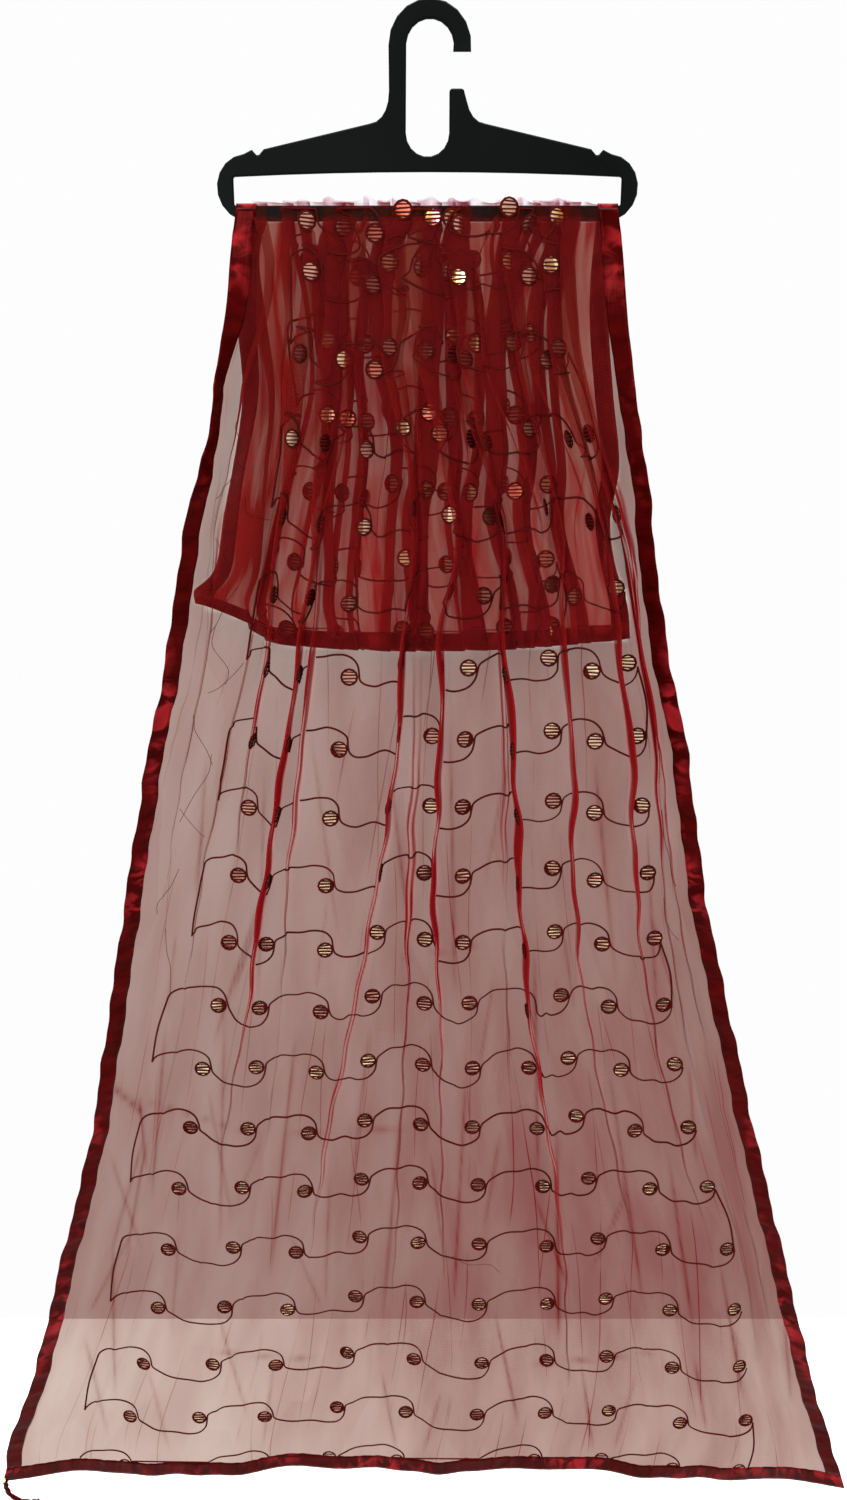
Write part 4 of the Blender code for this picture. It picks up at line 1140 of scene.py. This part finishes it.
def repeat_on_cloth(name, shapes, places, tilt, material):
    """Copies of small shapes set on the cloth, joined as one piece, each with a tone of its own."""
    bm = bmesh.new()
    tone_layer = bm.verts.layers.float.new("tone")
    for point, along, normal in places:
        fresh = len(bm.verts)
        bm.from_mesh(shapes[chance.randrange(len(shapes))])
        bm.verts.ensure_lookup_table()
        verts = bm.verts[fresh:]
        side = (along - normal * along.dot(normal)).normalized()
        up = normal.cross(side)
        basis = Matrix((side, up, normal)).transposed().to_4x4()
        lean = Matrix.Rotation(math.radians(chance.uniform(-tilt, tilt)), 4, "X")
        sway = Matrix.Rotation(math.radians(chance.uniform(-tilt, tilt)), 4, "Y")
        bmesh.ops.transform(bm, matrix=Matrix.Translation(point) @ basis @ lean @ sway, verts=verts)
        # the tone is random, but its range by height is painted light and shade: dark with few glints among
        # the layers
        among = point[2] > SHORT_HEM_Z
        tone = chance.random() ** SPANGLED if among else chance.uniform(*TONES_ALONE)
        for vert in verts:
            vert[tone_layer] = tone
    return link_piece(name, mesh_of(bm, name), material)


def dot_places(cloth, rows, over_net):
    """Where each dot sits, on the net's front: its point, the way the cloth runs across there, and the
    way it faces."""
    places = []
    turns = random.Random(11)
    reach = DOT_RADIUS * ACROSS_DOT
    for across, height in (dot for row in rows for dot in row):
        beside = [across - reach, across, across + reach]
        normal = cloth.at(beside, height, table=cloth.normals).mean(0)
        side = -1 if normal[1] > 0 else 1
        inside_hem = height < cloth.rows[-1] + RIBBON_WIDTH
        spots = cloth.at(beside, height, -side * UNDER_RIBBON if inside_hem else side * over_net)
        along = Vector(spots[2] - spots[0]).normalized()
        facing = Vector(normal * side).normalized()
        turn = turns.uniform(-1, 1) * (TURN_AMONG if height > SHORT_HEM_Z + RIBBON_WIDTH else TURN_ALONE)
        places.append((Vector(spots[1]), along, (facing + along * turn).normalized()))
    return places


def embroider(stretch, cloth, is_long, thread, sequin):
    """Dots and vine of one fall, as three pieces, on the side of the net that faces the front."""
    rows = dot_rows(is_long)
    near = 1 if is_long else -1
    lowest = cloth.rows[-1] + RIBBON_WIDTH
    runs = []
    for path in vine_paths(cloth, rows):
        path = path[(path[:, 1] > lowest) & (path[:, 1] < BAR_AXIS_Z)]
        for run in shown_runs(cloth, path):
            runs.append(cloth.at(run[:, 0], run[:, 1], VINE_LIFT * near))
    vine = thread_piece(f"vine_{stretch}", runs, THREAD_RADIUS, thread)
    rings = repeat_on_cloth(f"dot_stitching_{stretch}", [stitched_ring() for _ in range(3)],
                            dot_places(cloth, rows, RING_LIFT), RING_TILT, thread)
    # the hem's ribbon covers the sequins of the lowest row
    clear_of_hem = [place for place in dot_places(cloth, rows, SEQUIN_LIFT) if place[0].z > lowest]
    sequins = repeat_on_cloth(f"sequins_{stretch}", [cupped_sequin()], clear_of_hem, SEQUIN_TILT, sequin)
    return [vine, rings, sequins]


# ================================================================== materials
def new_material(name):
    """An empty material, and the function that adds a node to it."""
    material = bpy.data.materials.new(name)
    material.use_nodes = True
    tree = material.node_tree
    tree.nodes.clear()

    def add(kind, inputs=None, output=None, **settings):
        """Adds a shader node with its values, links and settings. Gives the named output, or the first
        one in use. A text value is a colour."""
        made = tree.nodes.new("ShaderNode" + kind)
        for setting, value in settings.items():
            setattr(made, setting, value)
        for socket, value in (inputs or {}).items():
            if isinstance(value, bpy.types.NodeSocket):
                tree.links.new(value, made.inputs[socket])
            else:
                made.inputs[socket].default_value = hex_colour(value) if isinstance(value, str) else value
        return made.outputs[output] if output else next((s for s in made.outputs if s.enabled), None)

    return material, add


def nylon_net(name, hole_tint):
    """Soft nylon net: fine threads that glow red with light behind them, with clear holes between."""
    material, add = new_material(name)
    flat = add("UVMap", uv_map="flat")
    fold, cover, layered, lit_among = (add("Attribute", output="Fac", attribute_name=table)
                                       for table in ("fold", "cover", "layered", "lit"))
    # holes 1 mm across in the real net, drawn as cells 2.4 mm across so that they show
    cells = add("TexVoronoi", {"Vector": flat, "Scale": 1 / 0.0024, "Randomness": 0.35},
                voronoi_dimensions="2D", feature="DISTANCE_TO_EDGE")
    cell_edge = add("MapRange", {"Value": cells, "From Min": 0.02, "From Max": 0.30,
                                 "To Min": 0.014, "To Max": -0.010})
    # hairline creases, two sets that cross at a slant, 45 and 64 mm apart and bent, painted as darker lines
    # of
    # denser net: painted shade
    hairlines = []
    for apart, slant, bend, width in ((0.045, 0.16, 5.0, 0.0009), (0.064, -0.13, 7.0, 0.0008)):
        slanted = add("Mapping", {"Vector": flat, "Rotation": (0, 0, slant), "Scale": (1, 0.35, 1)})
        wave = add("TexWave", {"Vector": slanted, "Scale": 1 / apart * math.pi / 10, "Distortion": bend,
                               "Detail": 2.0, "Detail Scale": 0.6}, output="Fac")
        edge = 0.5 + 0.5 * math.cos(2 * math.pi * width / apart)
        hairlines.append(add("MapRange", {"Value": wave, "From Min": edge, "From Max": 1.0}))
    hairline = add("Math", {0: hairlines[0], 1: hairlines[1]}, operation="MAXIMUM")
    # facets between the creases, each drawn a little denser and darker or clearer and lighter: painted
    # shade
    stretched = add("Mapping", {"Vector": flat, "Rotation": (0, 0, 0.1), "Scale": (1 / 0.06, 1 / 0.19, 1)})
    facets = add("TexVoronoi", {"Vector": stretched, "Scale": 1.0, "Randomness": 1.0}, output="Color",
                 voronoi_dimensions="2D")
    facet = add("MapRange", {"Value": facets, "To Min": -0.016, "To Max": 0.016})
    # among other layers the net is bunched in slanting streaks, 15 mm by 120 mm
    slanted = add("Mapping", {"Vector": flat, "Rotation": (0, 0, 0.22), "Scale": (1 / 0.015, 1 / 0.12, 1)})
    bunches = add("TexNoise", {"Vector": slanted, "Scale": 1.0, "Detail": 2.0, "Distortion": 0.5},
                  noise_dimensions="2D")
    bunched = add("MapRange", {"Value": bunches, "From Min": 0.3, "From Max": 0.7,
                               "To Min": -0.07, "To Max": 0.09})
    bunched = add("Math", {0: bunched, 1: layered}, operation="MULTIPLY")
    # painted shadows: slanting streaks, 50 mm by 200 mm, in which the net is drawn a little denser and
    # darker, and clearer between them
    drifting = add("Mapping", {"Vector": flat, "Rotation": (0, 0, 0.9), "Scale": (1 / 0.05, 1 / 0.20, 1)})
    patches = add("TexNoise", {"Vector": drifting, "Scale": 1.0, "Detail": 3.0}, noise_dimensions="2D")
    broken = add("MapRange", {"Value": patches, "From Min": 0.46, "From Max": 0.62,
                              "To Min": 0.0, "To Max": 0.10})
    line = add("Math", {0: hairline, 1: broken}, operation="MULTIPLY")
    shadow_streaks = add("MapRange", {"Value": patches, "From Min": 0.3, "From Max": 0.7,
                              "To Min": -0.03, "To Max": 0.03})
    for change in (line, cell_edge, facet, shadow_streaks, bunched):
        cover = add("Math", {0: cover, 1: change}, operation="ADD", use_clamp=True)
    # painted light: folds are painted a brighter glow, and less so among other layers, where the bunches
    # are painted as catching the light
    shaded = add("Math", {0: layered, 1: -0.8, 2: 1.0}, operation="MULTIPLY_ADD")
    bright = add("Math", {0: fold, 1: shaded}, operation="MULTIPLY")
    catching = add("MapRange", {"Value": bunches, "From Min": 0.35, "From Max": 0.65,
                                "To Min": 0.35, "To Max": 1.0})
    bright = add("Math", {0: catching, 1: lit_among, 2: bright}, operation="MULTIPLY_ADD", use_clamp=True)
    # lit and shaded copies of the net's colour, for its front and the light through it: alone, among other
    # layers, and a fold's painted glow
    tones = []
    for alone, among, folded in (("370909", "460d0d", "5e0f12"), ("58100d", "68130f", "86161a")):
        tone = add("Mix", {"Factor": layered, "A": alone, "B": among}, data_type="RGBA")
        tones.append(add("Mix", {"Factor": bright, "A": tone, "B": folded}, data_type="RGBA"))
    lit, glow = tones
    relief = add("Bump", {"Height": cells, "Strength": 0.05, "Distance": 0.0004})
    front = add("BsdfPrincipled", {"Base Color": lit, "Roughness": 0.9, "Specular IOR Level": 0.0,
                                   "Normal": relief})
    thread = add("AddShader", {0: front, 1: add("BsdfTranslucent", {"Color": glow})})
    hole = add("BsdfTransparent", {"Color": hole_tint})
    add("OutputMaterial", {"Surface": add("MixShader", {0: cover, 1: hole, 2: thread})})
    return material


def satin_ribbon():
    """Polyester satin ribbon: smooth floats along its length, a soft bright sheen that is partly painted,
    and sewn edges.
    """
    material, add = new_material("polyester satin ribbon, wine red")
    flat = add("UVMap", uv_map="flat")
    # gathers from sewing, about 15 mm apart along the ribbon
    gathered = add("Mapping", {"Vector": flat, "Scale": (1 / 0.015, 1 / 0.028, 1)})
    dents = add("TexNoise", {"Vector": gathered, "Scale": 1.0, "Detail": 2.0, "Distortion": 0.4},
                noise_dimensions="2D")
    # floats 0.3 mm wide in real satin, drawn as bands 1.2 mm wide along the ribbon
    floats = add("Mapping", {"Vector": flat, "Scale": (1 / 0.03, 1 / 0.0012, 1)})
    bands = add("TexNoise", {"Vector": floats, "Scale": 1.0, "Detail": 1.0}, noise_dimensions="2D")
    # a stitch every 3 mm in a line 2 mm from the inner edge
    along, over = (add("SeparateXYZ", {"Vector": flat}, output=axis) for axis in "XY")
    row = add("Math", {0: over, 1: 0.0168, 2: 0.00045}, operation="COMPARE")
    stitch = add("Math", {0: along, 1: 2 * math.pi / 0.003}, operation="MULTIPLY")
    stitch = add("Math", {0: stitch}, operation="SINE")
    stitch = add("Math", {0: stitch, 1: -0.2}, operation="GREATER_THAN")
    sewn = add("Math", {0: row, 1: stitch}, operation="MULTIPLY")
    # painted shade and highlight: the gathers are painted darker in their dents and lighter on their ridges
    tone = add("MapRange", {"Value": dents, "From Min": 0.1, "From Max": 0.9})
    dye = add("Mix", {"Factor": tone, "A": "1c0101", "B": "420403"}, data_type="RGBA")
    # painted highlights: stretches of about 140 mm whose gathers are painted brighter, as if they caught
    # the light
    long_waves = add("Mapping", {"Vector": flat, "Scale": (1 / 0.14, 1 / 0.06, 1)})
    turned = add("TexNoise", {"Vector": long_waves, "Scale": 1.0}, noise_dimensions="2D")
    turned = add("MapRange", {"Value": turned, "From Min": 0.50, "From Max": 0.66})
    catching = add("MapRange", {"Value": dents, "From Min": 0.44, "From Max": 0.62})
    shine = add("Math", {0: turned, 1: catching}, operation="MULTIPLY")
    dye = add("Mix", {"Factor": shine, "A": dye, "B": "7c161b"}, data_type="RGBA")
    colour = add("Mix", {"Factor": sewn, "A": dye, "B": "300609"}, data_type="RGBA")
    gloss = add("MapRange", {"Value": bands, "To Min": 0.20, "To Max": 0.30})
    height = add("Math", {0: bands, 1: 0.12, 2: dents}, operation="MULTIPLY_ADD")
    height = add("Math", {0: height, 1: sewn}, operation="SUBTRACT")
    relief = add("Bump", {"Height": height, "Strength": 0.5, "Distance": 0.0016})
    surface = add("BsdfPrincipled", {
        "Base Color": colour, "Roughness": gloss, "IOR": 1.2, "Specular IOR Level": 0.35,
        "Specular Tint": "f05050", "Normal": relief})
    add("OutputMaterial", {"Surface": surface})
    return material


def embroidery_thread():
    """Viscose embroidery thread: dark brown red, twisted and dull, a little uneven in its dye."""
    material, add = new_material("viscose embroidery thread, brown red")
    place = add("TexCoord", output="Object")
    # plies 0.4 mm apart in real thread, drawn 0.8 mm apart
    plies = add("TexWave", {"Vector": place, "Scale": 1 / 0.0008 / 20, "Distortion": 1.5}, output="Fac",
                bands_direction="DIAGONAL")
    uneven = add("TexNoise", {"Vector": place, "Scale": 26.0})
    colour = add("Mix", {"Factor": uneven, "A": "300807", "B": "4c120f"}, data_type="RGBA")
    relief = add("Bump", {"Height": plies, "Strength": 0.4, "Distance": 0.0003})
    surface = add("BsdfPrincipled", {"Base Color": colour, "Roughness": 0.8, "Specular IOR Level": 0.0,
                                     "Normal": relief})
    add("OutputMaterial", {"Surface": surface})
    return material


def gold_sequin():
    """Metallised plastic sequin: some pale gold, most a dull copper brown, by a tone that is partly random
    and partly painted light and shade.
    """
    material, add = new_material("metallised sequin, pale gold")
    place = add("TexCoord", output="Object")
    tone = add("Attribute", output="Fac", attribute_name="tone")
    # rubbed in patches about 3 mm across
    rubbed = add("TexNoise", {"Vector": place, "Scale": 320.0, "Detail": 2.0})
    dull_by_tone = add("MapRange", {"Value": tone, "From Min": 0.1, "From Max": 0.4})
    dull = add("Mix", {"Factor": dull_by_tone, "A": "6e3a30", "B": "ac8070"}, data_type="RGBA")
    pale_by_tone = add("MapRange", {"Value": tone, "From Min": 0.5, "From Max": 0.95})
    colour = add("Mix", {"Factor": pale_by_tone, "A": dull, "B": "ead6ae"}, data_type="RGBA")
    gloss = add("MapRange", {"Value": rubbed, "To Min": 0.20, "To Max": 0.42})
    relief = add("Bump", {"Height": rubbed, "Strength": 0.1, "Distance": 0.0005})
    surface = add("BsdfPrincipled", {"Base Color": colour, "Metallic": 1.0, "Roughness": gloss,
                                     "Normal": relief})
    add("OutputMaterial", {"Surface": surface})
    return material


def moulded_black_plastic():
    """Moulded black polypropylene: a fine matt grain, faint flow marks and edges painted lighter, a painted
    highlight.
    """
    material, add = new_material("moulded polypropylene, black")
    place = add("TexCoord", output="Object")
    # a grain of 1.1 mm, coarser than the real one so that it shows, and flow marks 70 mm long
    grain = add("TexNoise", {"Vector": place, "Scale": 1 / 0.0011, "Detail": 2.0})
    flow = add("TexNoise", {"Vector": place, "Scale": 14.0, "Detail": 3.0, "Distortion": 0.6})
    edge = add("NewGeometry", output="Pointiness")
    # painted highlight: the edges are painted lighter for their sheen
    rubbed = add("MapRange", {"Value": edge, "From Min": 0.52, "From Max": 0.60,
                              "To Min": 0.0, "To Max": 0.5})
    body = add("Mix", {"Factor": flow, "A": "040505", "B": "070808"}, data_type="RGBA")
    colour = add("Mix", {"Factor": rubbed, "A": body, "B": "101212"}, data_type="RGBA")
    gloss = add("MapRange", {"Value": flow, "To Min": 0.40, "To Max": 0.56})
    relief = add("Bump", {"Height": grain, "Strength": 0.2, "Distance": 0.0002})
    surface = add("BsdfPrincipled", {"Base Color": colour, "Roughness": gloss, "IOR": 1.35,
                                     "Specular IOR Level": 0.03, "Normal": relief})
    add("OutputMaterial", {"Surface": surface})
    return material


def mottled(name, scale, darker, lighter, roughness):
    """A plain material that varies between two near colours."""
    material, add = new_material(name)
    uneven = add("TexNoise", {"Vector": add("TexCoord", output="Object"), "Scale": scale})
    colour = add("Mix", {"Factor": uneven, "A": darker, "B": lighter}, data_type="RGBA")
    surface = add("BsdfPrincipled", {"Base Color": colour, "Roughness": roughness})
    add("OutputMaterial", {"Surface": surface})
    return material


def frayed_fibre():
    """Loose polyester fibres at the ribbon's cut end: pale grey pink, dull."""
    return mottled("frayed polyester fibre, grey pink", 300.0, "6a4a4c", "a08c8c", 0.8)


def painted_floor():
    """A plain pale studio floor, matt."""
    return mottled("matt studio floor, pale", 1.5, "f4f3f1", "f9f8f6", 0.9)


# ================================================================== the loose end and loose threads
def ribbon_tail(cloth, satin, gold, fibre):
    """The border ribbon's rolled end below the long hem's left corner, its frayed tip and a bead."""
    corner = cloth.at(0.0, LONG_HEM_Z)
    route = smooth_path([corner + np.array((right, 0, -below)) for right, below in TAIL_ROUTE], TAIL_STEP)
    bm = bmesh.new()
    bmesh.ops.create_circle(bm, segments=10, radius=TAIL_RADIUS)
    ring, edges = bm.verts[:], bm.edges[:]
    place, heading = Vector((0, 0, 0)), Vector((0, 0, 1))
    for k, point in enumerate(route):
        point = Vector(point)
        ahead = Vector(route[min(k + 1, len(route) - 1)] - route[max(k - 1, 0)]).normalized()
        turn = heading.rotation_difference(ahead).to_matrix().to_4x4()
        if k:
            grown = bmesh.ops.extrude_edge_only(bm, edges=edges)["geom"]
            ring = [item for item in grown if isinstance(item, bmesh.types.BMVert)]
            edges = [item for item in grown if isinstance(item, bmesh.types.BMEdge)]
        bmesh.ops.transform(bm, verts=ring, matrix=Matrix.Translation(point) @ turn
                            @ Matrix.Translation(-place))
        place, heading = point, ahead
    bmesh.ops.holes_fill(bm, edges=[e for e in bm.edges if e.is_boundary])
    front = Vector((0, 1, 0))
    for vert in bm.verts:
        swell = 1 + TAIL_SWELL * math.sin(vert.co.z * SWELL_DOWN + vert.co.x * SWELL_ACROSS)
        centre = Vector(min(route, key=lambda p: (Vector(p) - vert.co).length))
        off = vert.co - centre
        vert.co = centre + off * swell * (1 - TAIL_FLATNESS * abs(off.normalized().dot(front)))
    bmesh.ops.recalc_face_normals(bm, faces=bm.faces)
    mesh = mesh_of(bm, "ribbon_tail_satin")
    uv = mesh.uv_layers.new(name="flat")
    for loop in mesh.loops:
        co = mesh.vertices[loop.vertex_index].co
        uv.data[loop.index].uv = (co.x - co.z, TAIL_UV + TAIL_UV_SPREAD * math.sin(co.y * SWELL_DOWN))
    tail = link_piece("ribbon_tail_satin", mesh, satin)
    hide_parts("ribbon_tail")

    fibres = []
    for _ in range(FIBRES):
        start = route[-1] + np.array([chance.uniform(-1, 1) * TAIL_RADIUS * 0.5 for _ in range(3)])
        reach = np.array([chance.uniform(low, high) for low, high in FIBRE_REACH])
        fibres.append(smooth_path([start - reach * 0.3, start + reach * 0.5, start + reach], FIBRE_STEP))
    frayed = thread_piece("frayed_end", fibres, FIBRE_RADIUS, fibre)

    bm = bmesh.new()
    bead = bmesh.ops.create_icosphere(bm, subdivisions=2, radius=BEAD_RADIUS)
    bmesh.ops.scale(bm, vec=BEAD_SHAPE, verts=bead["verts"])
    bmesh.ops.translate(bm, vec=corner + np.array(BEAD_PLACE), verts=bead["verts"])
    mesh = mesh_of(bm, "corner_bead")
    tone = mesh.attributes.new("tone", "FLOAT", "POINT")
    tone.data.foreach_set("value", [1.0] * len(mesh.vertices))
    return [tail, frayed, link_piece("corner_bead", mesh, gold)]


def loose_threads(cloth, thread):
    """Fine hairs that lie on the net."""
    runs = []
    aside, down = LOOSE_STRAY
    for across, height, run_across, run_down in LOOSE_THREADS:
        bends = [(across * MM, height * MM)]
        for share in LOOSE_BENDS:
            bends.append(((across + run_across * share + chance.uniform(-aside, aside)) * MM,
                          (height - run_down * share + chance.uniform(-down, down)) * MM))
        path = smooth_path(bends, LOOSE_STEP)
        runs.append(cloth.at(path[:, 0], path[:, 1], LOOSE_LIFT))
    return thread_piece("loose_threads", runs, LOOSE_RADIUS, thread)


# ================================================================== the room
def set_stage():
    scene = bpy.context.scene
    scene.view_settings.view_transform = "Standard"
    scene.cycles.transparent_max_bounces = 40

    camera = bpy.data.objects.new("camera", bpy.data.cameras.new("camera"))
    scene.collection.objects.link(camera)
    camera.location = CAMERA_PLACE
    camera.rotation_euler = (math.radians(90 - CAMERA_TILT), 0, 0)
    camera.data.lens = CAMERA_LENS
    camera.data.clip_end = 100
    scene.camera = camera

    world = bpy.data.worlds.new("pale studio")
    scene.world = world
    world.use_nodes = True
    background = world.node_tree.nodes["Background"]
    background.inputs["Color"].default_value = (1, 1, 1, 1)
    background.inputs["Strength"].default_value = ROOM_STRENGTH

    for name, place, aim, size, power in LIGHTS:
        light = bpy.data.objects.new(name, bpy.data.lights.new(name, "AREA"))
        scene.collection.objects.link(light)
        light.location = place
        light.rotation_euler = (Vector(aim) - Vector(place)).to_track_quat("-Z", "Y").to_euler()
        light.data.size = size
        light.data.energy = power

    bm = bmesh.new()
    bmesh.ops.create_grid(bm, x_segments=1, y_segments=1, size=FLOOR_SIZE / 2)
    bmesh.ops.translate(bm, vec=(0, FLOOR_BACK_EDGE - FLOOR_SIZE / 2, cad_low.z - FLOOR_BELOW),
                        verts=bm.verts)
    mesh = mesh_of(bm, "floor")
    mesh.materials.append(painted_floor())
    floor = bpy.data.objects.new("floor", mesh)
    scene.collection.objects.link(floor)


def fall_ribbons(stretch, cloth, hem_z, ribbon_rows, satin, size):
    """The ribbons of one fall: its two selvedges and its hem."""
    heights = np.linspace(BAR_AXIS_Z, hem_z + RIBBON_WIDTH, ribbon_rows)
    return (selvedge_ribbons(stretch, cloth, heights, satin)
            + [hem_ribbon(stretch, cloth, hem_z, satin, size)])


def main():
    set_stage()
    net, satin = nylon_net("soft nylon net, wine red", "fffdf2"), satin_ribbon()
    bunched_net = nylon_net("soft nylon net bunched on the bar, wine red", "fffcfe")
    thread, gold, fibre = embroidery_thread(), gold_sequin(), frayed_fibre()
    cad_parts["hanger"].material_slots[0].material = moulded_black_plastic()

    front, back, top = hang_fall(True), hang_fall(False), wrap_bar()
    net_front = net_sheet("net_front_cloth", front, net, behind=back)
    net_back = net_sheet("net_back_cloth", back, net)
    net_top = net_sheet("net_top_cloth", top, bunched_net)
    for stretch, sheet in (("front", net_front), ("back", net_back), ("top", net_top)):
        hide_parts(f"net_{stretch}")

    front_trim = fall_ribbons("front", front, LONG_HEM_Z, LONG_RIBBON_ROWS, satin, PUCKER_SIZE)
    back_trim = fall_ribbons("back", back, SHORT_HEM_Z, SHORT_RIBBON_ROWS, satin, BACK_HEM_PUCKER)
    top_trim = selvedge_ribbons("top", top, np.linspace(-90, 90, TOP_RIBBON_ROWS), satin)

    front_trim += embroider("front", front, True, thread, gold)
    back_trim += embroider("back", back, False, thread, gold)
    front_trim.append(loose_threads(front, thread))
    front_trim += ribbon_tail(front, satin, gold, fibre)


main()
